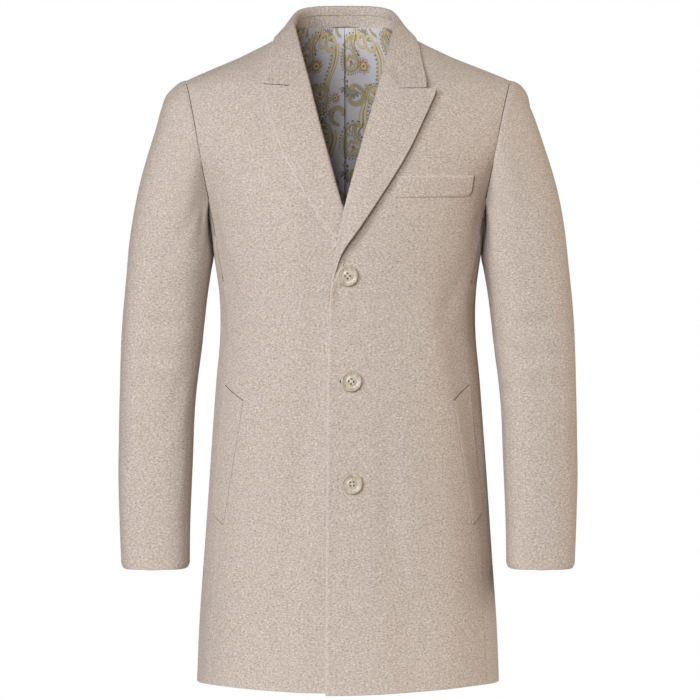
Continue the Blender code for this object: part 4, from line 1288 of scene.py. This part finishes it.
def leaf_half(hand, share, part, roll, fall):
    """Half collar leaf: fall inside the neck, fold, then an arc from the fold to the outer edge.

    The fold is part of a circle round the stand's top, the outer leaf a cubic curve that starts
    level and is kept off the body. Towards the gorge the rows bend into the gorge line.
    """
    fold = collar_fold(share)
    edge_angle, edge_z = np.moveaxis(along(LEAF_EDGE, share * (len(LEAF_EDGE) - 1)), -1, 0)
    edge_angle, edge_place = np.radians(edge_angle), place_of(edge_z)
    edge_lift = LEAF_LIFT + roll_swell(hand, LEAF_CORNER[hand]) * comes_in(share, *LEAF_SWELL)
    edge = off_body(edge_angle, edge_place, edge_lift)
    chest = front_angle(fold[:, 0], fold[:, 2])
    turned = comes_in(share, *LEAF_TURN)[:, None]
    up = unit((1 - turned) * (0, 0, 1) + turned * oval_normal(chest, place_of(fold[:, 2])))
    out = edge - fold
    out = unit(out - up * np.sum(out * up, axis=-1, keepdims=True))
    first = fold + up * LEAF_LIFT + out * FOLD_RADIUS * turned
    second = first + out * np.linalg.norm(edge - first, axis=-1, keepdims=True) * LEAF_ROLL
    third = edge + (second - edge) * LEAF_HUG
    p = part[:, None, None]
    curve = (1 - p) ** 3 * first + 3 * (1 - p) ** 2 * p * second
    curve = curve + 3 * (1 - p) * p ** 2 * third + p ** 3 * edge
    across = np.interp(part, *LEAF_TO_GORGE.T) * LEAF_CORNER[hand]
    end_x, end_z = gorge(hand, across)
    end_x = end_x + FOLD_RADIUS * (1 - across)
    opened = ease((across - GORGE_BEND + GORGE_OPEN[0]) / GORGE_OPEN[1])
    end_z = end_z + SEAM * (GORGE_GAP[0] + GORGE_GAP[1] * opened)
    end_lift = LAPEL_LIFT + roll_swell(hand, across)
    end = off_body(front_angle(end_x, end_z), place_of(end_z), end_lift)[:, None, :]
    closing = comes_in(share, *LEAF_CLOSE)[:, None]
    leaf = clear_of_body(curve * (1 - closing) + end * closing, LEAF_LIFT)
    down = unit(oval(*neck_seam(share)) - fold)
    lean = np.arctan2(np.sum(down * out, -1), -np.sum(down * up, -1))
    last = np.pi / 2 + lean + (np.pi / 2 - lean) * comes_in(share, *FALL_TURN)
    swing = roll[:, None] * last
    fall = fall[:, None] * blend(INNER_FALL, turned[:, 0])
    centre = leaf[0] - FOLD_RADIUS * up
    wrap = np.cos(swing)[..., None] * up - np.sin(swing)[..., None] * out
    tangent = -np.sin(last)[:, None] * up - np.cos(last)[:, None] * out
    inside = centre + FOLD_RADIUS * wrap + fall[..., None] * tangent
    return np.concatenate([inside, leaf])


# Columns of the half leaf, close together at its end, and rows of its outer side, one on the bend
leaf_share = np.concatenate([np.linspace(0, 0.86, 66), np.linspace(0.866, 0.994, 22), [0.997, 0.999, 1]])
leaf_part = lines(LEAF_DEPTH, LEAF_STEP)[CLOSE + 1:]
leaf_part = np.unique(np.concatenate([leaf_part, [0.0, LEAF_TO_GORGE[2, 0]]]))
leaf_fall = np.concatenate([FALL_STEPS, np.zeros(FALL_ROLL)])
leaf_roll = np.concatenate([np.ones(len(FALL_STEPS)), np.linspace(1, 0, FALL_ROLL + 1)[:-1]])
half_leaves = [leaf_half(hand, leaf_share, leaf_part, leaf_roll, leaf_fall) for hand, _ in HANDS]
double = np.concatenate([np.zeros(len(leaf_roll)), ease(leaf_part / LEAF_DOUBLE)])[:, None]
thick = FOLD_WALL + (LEAF_WALL - FOLD_WALL) * double
piece = add_cloth("collar_leaf", both_sides(*half_leaves), thick, wool,
                  (AT_SEAM, AT_EDGE, AT_FLAT_SEAM, AT_FLAT_SEAM))

# Lapels
# Peak lapels, the fronts' upper edges turned over: the facing comes out of the coat, folds over
# the roll line and lies on the front, with its peak below the gorge.
LAPEL_LOW = -0.346           # lower end of the top lapel
LAPEL_FADE = (-0.345, -0.332)  # heights between which its lower end sinks into the front
UNDER_LAPEL_LOW = -0.286     # the under lapel goes below the top front here
# How much closer the under lapel lies to its front than the top one, share over which that comes in
UNDER_LAPEL_SINK = (0.0004, 0.3)
# How far back the under lapel's fold lies from the top front's: height, distance
ROLL_GAP = np.array([(-0.244, -0.0014), (-0.234, 0.0018)])
FACING = 0.012               # width of the facing behind the fold
# Points across the facing, from its free edge to the fold
FACING_STEPS = (1, 0.985, 0.95, 0.88, 0.6, 0.3, 0)
FACING_ROLL = 11             # points round the fold
LAPEL_LENGTH = 0.30
LAPEL_WIDTH = 0.07
LAPEL_STEPS = (0.0035, 0.0028)  # spacing of a lapel's points: along it, across it
LAPEL_TUCK = 0.0014          # the fold lies this far in where the edge hasn't turned over yet
LAPEL_SLIM = 0.0006          # least width of the under lapel
LAPEL_SINK = 0.0006          # the top lapel's lower end lies this far inside the front
LAPEL_PRESS = 0.0005         # a lapel is this much thinner than its room
LAPEL_ROOM = (0.001, 0.018)  # width from which a lapel swells off the chest, and over how much more
LAPEL_BEND = (0.55, 0.45)    # share of its length where rows begin to bend to the gorge, over how much
FOLD_SHARE = 0.4             # the fold's radius is at most this share of the lapel's width
FLAT_FOLD = 0.25             # share of the fold's radius where the edge hasn't turned over yet
FLAT_WALL = 0.4              # the same for its thickness
LAPEL_DOUBLE = 0.6           # share of the lapel over which its wall comes to full thickness
LAPEL_ROUND = {"left": 0.0013, "right": 0.0007}  # roundness of the outer edge
# Painted highlight along each lapel's outer edge: height, strength
LAPEL_EDGE_HIGHLIGHT = {
    "left": np.array([(-0.35, 0.42), (0.0, 0.42)]),
    "right": np.array([(-0.27, 0.85), (-0.10, 0.40)]),
}
# Where the top lapel's edge stands off the front: height, half length, rise
LAPEL_STAND = (-0.286, 0.044, 0.0042)
PEAK_ROUND = (0.0048, 0.0024, 0.0013)  # reach of the peak's rounding, how far it draws in and down
# Outer edge of each lapel, from its lower end up to the peak: height, distance from the centre
LAPEL_EDGE = {
    "left": np.array([
        (-0.3500, -0.0212),
        (-0.3250, -0.0138),
        (-0.3000, -0.0045),
        (-0.2774, 0.0109),
        (-0.2606, 0.0231),
        (-0.2344, 0.0411),
        (-0.1982, 0.0643),
        (-0.1540, 0.0894),
    ]),
    "right": np.array([
        (-0.3000, -0.0035),
        (-0.2774, 0.0128),
        (-0.2606, 0.0268),
        (-0.2344, 0.0448),
        (-0.1982, 0.0655),
        (-0.1540, 0.0880),
    ]),
}


def lapel_grid(hand, under):
    """Lapel: facing behind the front, a half circle round its edge, then flat to the outer edge.

    Rows run from the lower end to the gorge. Across a row the flat part is a straight share of the
    way from the roll to the outer edge, and the uppermost rows bend into the gorge line.
    """
    low = UNDER_LAPEL_LOW if under else LAPEL_LOW
    part = lines(LAPEL_LENGTH, LAPEL_STEPS[0])[:, None]
    share = np.unique(np.concatenate([lines(LAPEL_WIDTH, LAPEL_STEPS[1])[CLOSE:], [0.0, GORGE_BEND]]))
    top_x, top_z = gorge(hand, share)
    inner_z = low + (GORGE[hand][0, 1] - low) * part
    outer_z = low + (GORGE[hand][2, 1] - low) * part
    outer_x = read(np.concatenate([LAPEL_EDGE[hand], GORGE[hand][2:, ::-1]]), outer_z)
    inner_x = read(FRONT_EDGE, inner_z)
    if under:
        inner_x = np.minimum(np.abs(inner_x) + read(ROLL_GAP, inner_z), outer_x - LAPEL_SLIM)
    over = np.ones_like(part) if under else turned_over(inner_z)
    inner_x = inner_x + LAPEL_TUCK * (1 - over)
    radius = np.minimum(FOLD_RADIUS, FOLD_SHARE * (outer_x - inner_x))
    radius = radius * (FLAT_FOLD + (1 - FLAT_FOLD) * over)
    x = inner_x + radius + (outer_x - inner_x - radius) * share
    z = inner_z + (outer_z - inner_z) * share
    bend = comes_in(part, *LAPEL_BEND) ** 2
    x = x + bend * (top_x + FOLD_RADIUS * (1 - share) - x[-1])
    z = z + bend * (top_z - z[-1])
    peak = np.exp(-((x - x[-1, -1]) ** 2 + (z - z[-1, -1]) ** 2) / PEAK_ROUND[0] ** 2)
    x = x - PEAK_ROUND[1] * peak
    z = z - PEAK_ROUND[2] * peak
    push = under_push(x, z) if under else 0.0
    full = np.ones_like(part) if under else step_between(inner_z, LAPEL_FADE)
    room = comes_in(outer_x - inner_x, *LAPEL_ROOM)
    sink = UNDER_LAPEL_SINK[0] * ease(share / UNDER_LAPEL_SINK[1]) if under else 0.0
    lift = (LAPEL_LIFT + LAPEL_SINK) * full - LAPEL_SINK + roll_swell(hand, share) * room - push - sink
    if not under:
        middle, half, rise = LAPEL_STAND
        lift = lift + rise * bell((z - middle) / half) * ease(share) * full
    angle = front_angle(x, z)
    flat = body(angle, z, lift)
    up = oval_normal(angle, place_of(z))[:, :1]
    line = unit(np.gradient(flat[:, :1], axis=0))
    out = unit(np.cross(line, up))
    out = out * np.sign(np.sum(out * (flat[:, -1:] - flat[:, :1]), axis=-1, keepdims=True))
    round_fold = np.linspace(np.pi, 0, FACING_ROLL + 2)[1:-1]
    swing = np.concatenate([np.full(len(FACING_STEPS), np.pi), round_fold])[None, :, None]
    back = FACING * np.concatenate([FACING_STEPS, np.zeros(FACING_ROLL)])[None, :, None]
    centre = flat[:, :1] - radius[..., None] * up
    wrap = centre + radius[..., None] * (np.cos(swing) * up - np.sin(swing) * out) + back * out
    double = np.concatenate([np.zeros(wrap.shape[1]), ease(share / LAPEL_DOUBLE)])
    thick = FOLD_WALL + (LAPEL_WALL - LAPEL_PRESS - FOLD_WALL) * double
    thick = thick * (FLAT_WALL + (1 - FLAT_WALL) * over)
    points = np.concatenate([wrap, flat], axis=1)
    across = lengths(points, 1)
    across = across - across[:, [wrap.shape[1]]] + flat[:, :1, 0]
    return points, thick, np.stack([across, points[..., 2]], -1)


for hand, flip in HANDS:
    panel, thick, flat = lapel_grid(hand, flip)
    piece = add_cloth("lapel_" + hand, panel, thick, wool,
                      (AT_EDGE, AT_FLAT_SEAM, AT_SEAM, (LAPEL_ROUND[hand], 1.0)), flip, uv=flat,
                      highlight=read(LAPEL_EDGE_HIGHLIGHT[hand], panel[..., 2]))

# Pocket welts
# Strips of double wool over the pocket mouths, sewn down at their ends: one on the breast, two
# slanting at the hips.
# The dark thread at the welts' ends is real stitching whose dark colour paints the shadow of the gaps
# there.
WELT_GAP = 0.0002            # clearance of a welt on its front
WELT_ROUND = 0.0010
# Height of a welt on its front: at its end near the closing, at its other end
BREAST_LIFT = (0.0012, 0.0032)
HIP_LIFT = {"left": (0.0007, 0.0022), "right": (0.0009, 0.0020)}
BREAST_WELT = np.array([[(0.0695, -0.1960), (0.1700, -0.1929)], [(0.0655, -0.2252), (0.1660, -0.2216)]])
HIP_WELT = np.array([[(53.0, -0.4960), (66.0, -0.4752)], [(62.0, -0.6634), (72.0, -0.6480)]])
CORNER_REACH = 0.0050        # rounding of the breast welt's lower outer corner
CORNER_PULL = 0.0022
STITCH_RADIUS = 0.00045      # thread at the welts' ends: real stitching, coloured dark as a painted shadow of the gaps there
STITCH_LIFT = 0.0009
BREAST_STITCH = (0.0008, 0.0024)  # the breast welt's stitch: distance past the welt's end, lift
WELT_STEP = 0.003
HIP_STEP = 0.004             # spacing of points down a hip welt
BREAST_SPAN = (0.10, 0.03)   # rough width and height of a welt, set the count of its points
HIP_SPAN = (0.03, 0.17)


def patch(corners, across, down):
    """Grid of values between four corners: the two upper ones, then the two lower ones."""
    across, down = across[None, :, None], down[:, None, None]
    upper, lower = blend(corners[0], across), blend(corners[1], across)
    return np.moveaxis(blend((upper, lower), down), -1, 0)


def closed_rings(points, first, last):
    """Points and faces of rings joined to each other and to a closing point at both ends."""
    rows, sides = points.shape[:2]
    index = np.arange(rows * sides).reshape(rows, sides)
    ahead = np.roll(index, -1, axis=1)
    quads = np.stack([index[:-1], ahead[:-1], ahead[1:], index[1:]], -1).reshape(-1, 4)
    start = np.stack([ahead[0], index[0], np.full(sides, rows * sides)], -1)
    end = np.stack([index[-1], ahead[-1], np.full(sides, rows * sides + 1)], -1)
    faces = quads.tolist() + start.tolist() + end.tolist()
    return np.concatenate([points.reshape(-1, 3), [first, last]]), faces


def tube(path, upward, radius, sides=10):
    """Round tube along a path: rings set square to it, turned so that they keep one side upward."""
    ahead = unit(np.gradient(path, axis=0))
    beside = unit(np.cross(ahead, upward))
    above = np.cross(beside, ahead)
    turn = 2 * np.pi * np.arange(sides)[None, :, None] / sides
    return path[:, None] + radius * (np.cos(turn) * beside[:, None] + np.sin(turn) * above[:, None])


def plain_material(name, colour, roughness):
    """Material of one colour."""
    material, tree, shader = new_material(name)
    feed(tree, shader, [("Base Color", (*colour, 1)), ("Roughness", roughness)])
    return material


# Painted shadow: thread dark enough to stand in for the shaded gaps at the welts' ends
dark_shadow_thread = plain_material("dark_shadow_thread", (0.125, 0.091, 0.067), 0.9)


def add_thread(name, path, upward, radius, material):
    """Round thread along a path, closed at both ends."""
    points, faces = closed_rings(tube(path, upward, radius), path[0], path[-1])
    piece = add_piece(name, settle(points), faces, points[:, ::2], material)


def add_shadow_stitch(name, turn, z, lift):
    """Dark thread along a line of body angles and heights, a little way off the cloth; its darkness is
    painted shadow.
    """
    upward = oval_normal(turn, place_of(z))
    add_thread(name, body(turn, z, lift), upward, STITCH_RADIUS, dark_shadow_thread)


at_mouth, at_sewn = (WELT_ROUND, 1.0), (WELT_ROUND, 0.9)
welt_across, welt_down = (lines(span, WELT_STEP, WELT_ROUND) for span in BREAST_SPAN)
welt_x, welt_z = patch(BREAST_WELT, welt_across, welt_down)
from_corner = np.stack([welt_x, welt_z], -1) - BREAST_WELT[1, 1]
corner = np.exp(-np.sum(from_corner ** 2, -1) / CORNER_REACH ** 2)
welt_x, welt_z = welt_x - CORNER_PULL * corner, welt_z + CORNER_PULL * corner
lift = np.linspace(*BREAST_LIFT, welt_z.shape[1])[None, :] + np.zeros_like(welt_z)
panel = body(front_angle(welt_x, welt_z), welt_z, lift)
piece = add_cloth("breast_welt", panel, lift - WELT_GAP, wool,
                  (at_mouth, at_sewn, at_sewn, at_sewn), facing=-1)
stitch_turn = front_angle(welt_x[:, -1] + BREAST_STITCH[0], welt_z[:, -1])
add_shadow_stitch("breast_stitch_shadow", stitch_turn, welt_z[:, -1], BREAST_STITCH[1])
hip_across = lines(HIP_SPAN[0], WELT_STEP, WELT_ROUND)
hip_down = lines(HIP_SPAN[1], HIP_STEP, WELT_ROUND)
for hand, flip in HANDS:
    hip_turn, hip_z = patch(HIP_WELT, hip_across, hip_down)
    hip_turn = np.radians(hip_turn)
    lift = np.linspace(*HIP_LIFT[hand], hip_z.shape[1])[None, :] + np.zeros_like(hip_z)
    panel = body_half(hip_turn, hip_z, flip, lift)
    piece = add_cloth("hip_welt_" + hand, panel, lift - WELT_GAP, wool,
                      (at_sewn, at_sewn, at_sewn, at_mouth), flip, facing=-1)
    for end, corners in zip(("top", "bottom"), HIP_WELT):
        turn, z = blend(corners, np.linspace(0, 1, 13)[:, None]).T
        add_shadow_stitch(f"hip_stitch_shadow_{hand}_{end}", np.radians(turn) * (-1 if flip else 1), z, STITCH_LIFT)

# Buttons
# Three polished cream horn buttons with a raised rim, a dished middle and four holes, sewn to the
# under front with cream thread. Their faces are faintly mottled.
# The holes' pits are painted near black as shade.
BUTTON_RADIUS = 0.0140
BUTTON_SEAT = 0.0012         # the button stands this far off the top front
HOLE_AWAY = 0.0022           # holes' distance from the middle, along and across
HOLE_RADIUS = 0.00125
HOLE_DEPTH = 0.0022
HOLE_EDGE = (1.12, 0.24)     # where a hole's wall begins and over how far, in shares of its radius
BUTTON_SIDES = 96
RIM_RINGS = 46               # rings along the outline
MIDDLE_RINGS = np.linspace(0.292, 0.004, 38)  # rings across the middle, as shares of the radius
FIRST_HOLE_RING = 21         # holes are cut from this ring inwards
THREAD_RADIUS = 0.00036
THREAD_RISE = 0.0003         # the thread's height over the middle
THREAD_DIVE = 0.0016         # how far its ends go down into the holes
THREAD_REACH = 1.30          # half its length, in the holes' distance from the middle
# Buttons: distance from the centre, height, turn of the holes in degrees
BUTTONS = np.array([(0.0020, -0.3293, 45), (0.0045, -0.4697, 38), (0.0056, -0.6059, 4)])
# Outline of a button from its seat over the rim to the middle: share of the radius, height
BUTTON_PROFILE = np.array([
    (0.90, 0.0000),
    (0.97, 0.0004),
    (1.00, 0.0012),
    (0.995, 0.0020),
    (0.975, 0.0029),
    (0.945, 0.0036),
    (0.905, 0.0040),
    (0.87, 0.0041),
    (0.83, 0.0039),
    (0.78, 0.0034),
    (0.72, 0.0030),
    (0.62, 0.0027),
    (0.50, 0.0026),
    (0.42, 0.0027),
    (0.36, 0.0029),
    (0.30, 0.0031),
])


def front_frame(x, z):
    """Place on the front with its outward, sideways and upward directions."""
    angle, place = front_angle(x, z), place_of(z)
    axis = oval_normal(angle, place)
    across = unit(np.cross((0, 0, 1), axis))
    return body(angle, np.asarray(z)), axis, across, np.cross(axis, across)


def button_points(x, z, degrees):
    """Button turned about its axis: the outline swept round, then a fine middle with four pits."""
    seat, axis, across, upward = front_frame(x, z)
    rings = np.concatenate([
        along(BUTTON_PROFILE, np.linspace(0, len(BUTTON_PROFILE) - 1, RIM_RINGS)),
        np.stack([MIDDLE_RINGS, np.full(len(MIDDLE_RINGS), BUTTON_PROFILE[-1, 1])], -1)])
    turn = 2 * np.pi * np.arange(BUTTON_SIDES) / BUTTON_SIDES
    reach = rings[:, :1] * BUTTON_RADIUS
    u, v = reach * np.cos(turn), reach * np.sin(turn)
    height = np.broadcast_to(rings[:, 1:], u.shape)
    key = np.radians(degrees)
    a, b = u * np.cos(key) + v * np.sin(key), v * np.cos(key) - u * np.sin(key)
    away = np.hypot(np.abs(a) - HOLE_AWAY, np.abs(b) - HOLE_AWAY)
    inside = (np.arange(len(rings)) >= FIRST_HOLE_RING)[:, None]
    # The pit mask both sinks the holes and paints shade into them
    pit_and_shade = inside * ease((HOLE_EDGE[0] * HOLE_RADIUS - away) / (HOLE_EDGE[1] * HOLE_RADIUS))
    height = height - HOLE_DEPTH * pit_and_shade
    points = seat + (BUTTON_SEAT + height)[..., None] * axis
    points = points + u[..., None] * across + v[..., None] * upward
    flat = np.stack([u + x, v + z], -1)
    middle = seat + (BUTTON_SEAT + rings[-1, 1]) * axis
    return points, flat, seat + BUTTON_SEAT * axis, middle, pit_and_shade


def thread_path(x, z, degrees):
    """Stitch between two opposite holes: out of one pit, over the middle, into the other."""
    seat, axis, across, upward = front_frame(x, z)
    key = np.radians(degrees + 45)
    way = np.cos(key) * across + np.sin(key) * upward
    share = np.linspace(-1, 1, 15)[:, None]
    rise = BUTTON_SEAT + BUTTON_PROFILE[-1, 1] + THREAD_RISE - THREAD_DIVE * share ** 6
    return seat + rise * axis + share * THREAD_REACH * HOLE_AWAY * way, axis


def horn_material():
    """Polished horn: cream with cloudy streaks under a clear gloss, with painted shade near black in the
    pits.
    """
    material, tree, shader = new_material("cream_horn")
    where = put(tree, "ShaderNodeTexCoord").outputs["Object"]
    streak = put(tree, "ShaderNodeMapping", [("Vector", where), ("Scale", (1.0, 1.0, 0.35))])
    cloud = put(tree, "ShaderNodeTexNoise", [
        ("Vector", streak.outputs[0]), ("Scale", 210.0), ("Detail", 4.0), ("Roughness", 0.6),
        ("Distortion", 1.2)])
    tone = put(tree, "ShaderNodeValToRGB", [("Fac", cloud.outputs["Fac"])])
    stops = tone.color_ramp.elements
    stops[0].position, stops[0].color = 0.30, (0.36, 0.305, 0.225, 1)
    stops[1].position, stops[1].color = 0.68, (0.68, 0.615, 0.515, 1)
    # Painted shade: the pit_and_shade attribute makes the holes' pits near black
    pit_and_shade = put(tree, "ShaderNodeAttribute", attribute_name="pit_and_shade")
    dark = put(tree, "ShaderNodeMixRGB", [
        ("Fac", pit_and_shade.outputs["Fac"]), ("Color1", tone.outputs["Color"]),
        ("Color2", (0.012, 0.010, 0.008, 1))])
    feed(tree, shader, [
        ("Base Color", dark.outputs["Color"]), ("Roughness", 0.36), ("Coat Weight", 0.25),
        ("Coat Roughness", 0.14)])
    return material


horn = horn_material()
cream_thread = plain_material("cream_thread", (0.84, 0.80, 0.72), 0.8)
for number, (x, z, degrees) in enumerate(BUTTONS, 1):
    points, flat, first, last, pit_and_shade = button_points(x, z, degrees)
    points, faces = closed_rings(points, first, last)
    flat = np.concatenate([flat.reshape(-1, 2), [(x, z), (x, z)]])
    piece = add_piece(f"horn_button_{number}", settle(points), faces, flat, horn)
    shade = piece.data.attributes.new("pit_and_shade", "FLOAT", "POINT")
    shade.data.foreach_set("value", np.concatenate([pit_and_shade.ravel(), [0, 0]]))
    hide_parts(f"button_{number}")
    for bar in (0, 1):
        path, axis = thread_path(x, z, degrees + 90 * bar)
        add_thread(f"button_thread_{number}_{bar + 1}", path, axis, THREAD_RADIUS, cream_thread)

# Buttonholes
# Keyhole buttonholes in the top front, stitched round with thread of the wool's colour.
# Each runs under its button; at the middle one the round end shows beside the button.
# Each slot is a near-black disc of painted shade lying on the cloth.
HOLE_LENGTH = 0.024
HOLE_SLOT = 0.0005           # half width of the slot
HOLE_EYE = (0.0013, 0.0016, 0.0040)  # round end: distance from the tip, half length, extra half width
HOLE_POINTS = 72
HOLE_LIFT = 0.0003           # the slot's painted shade lies this far off the cloth
RIM_RADIUS = 0.00055
# Distance of the round end from the middle of each button
HOLE_REACH = (0.0125, 0.0161, 0.0125)


def hole_points(x, z, scale, lift):
    """Keyhole outline on the front: a slim slot with a round end, scaled and lifted off the cloth."""
    turn = 2 * np.pi * np.arange(HOLE_POINTS) / HOLE_POINTS
    u = -0.5 * HOLE_LENGTH * np.cos(turn)
    from_tip, half, wide = HOLE_EYE
    eye = bell((u + 0.5 * HOLE_LENGTH - from_tip) / half)
    v = np.sin(turn) * (HOLE_SLOT + wide * eye)
    hole_x, hole_z = x + scale * u, z + scale * v
    return body(front_angle(hole_x, hole_z), hole_z, lift)


hole_shade = plain_material("hole_shade", (0.014, 0.011, 0.009), 0.9)
stitch = plain_material("buttonhole_stitch", (0.50, 0.43, 0.375), 0.9)
for number, (x, z, _) in enumerate(BUTTONS, 1):
    x = x - HOLE_REACH[number - 1] + 0.5 * HOLE_LENGTH
    # Painted shade: a near-black disc where the slot is
    rings = np.stack([hole_points(x, z, *row) for row in ((1, 0.0), (1, HOLE_LIFT), (0.5, HOLE_LIFT))])
    middle = [body(front_angle(x, z), np.asarray(z), lift) for lift in (0.0, HOLE_LIFT)]
    points, faces = closed_rings(rings[:, ::-1], *middle)
    piece = add_piece(f"buttonhole_{number}", settle(points), faces, points[:, ::2], hole_shade)
    path = hole_points(x, z, 1, HOLE_LIFT)
    axis = front_frame(x, z)[1]
    path = np.concatenate([path[-2:], path, path[:2]])
    rim = tube(path, axis, RIM_RADIUS)[2:-2]
    index = np.arange(rim.shape[0] * rim.shape[1]).reshape(rim.shape[:2])
    corners = [np.roll(index, (-down, -on), (0, 1)) for down, on in ((0, 0), (0, 1), (1, 1), (1, 0))]
    faces = np.stack(corners, -1).reshape(-1, 4).tolist()
    rim = rim.reshape(-1, 3)
    piece = add_piece(f"buttonhole_rim_{number}", settle(rim), faces, rim[:, ::2], stitch)
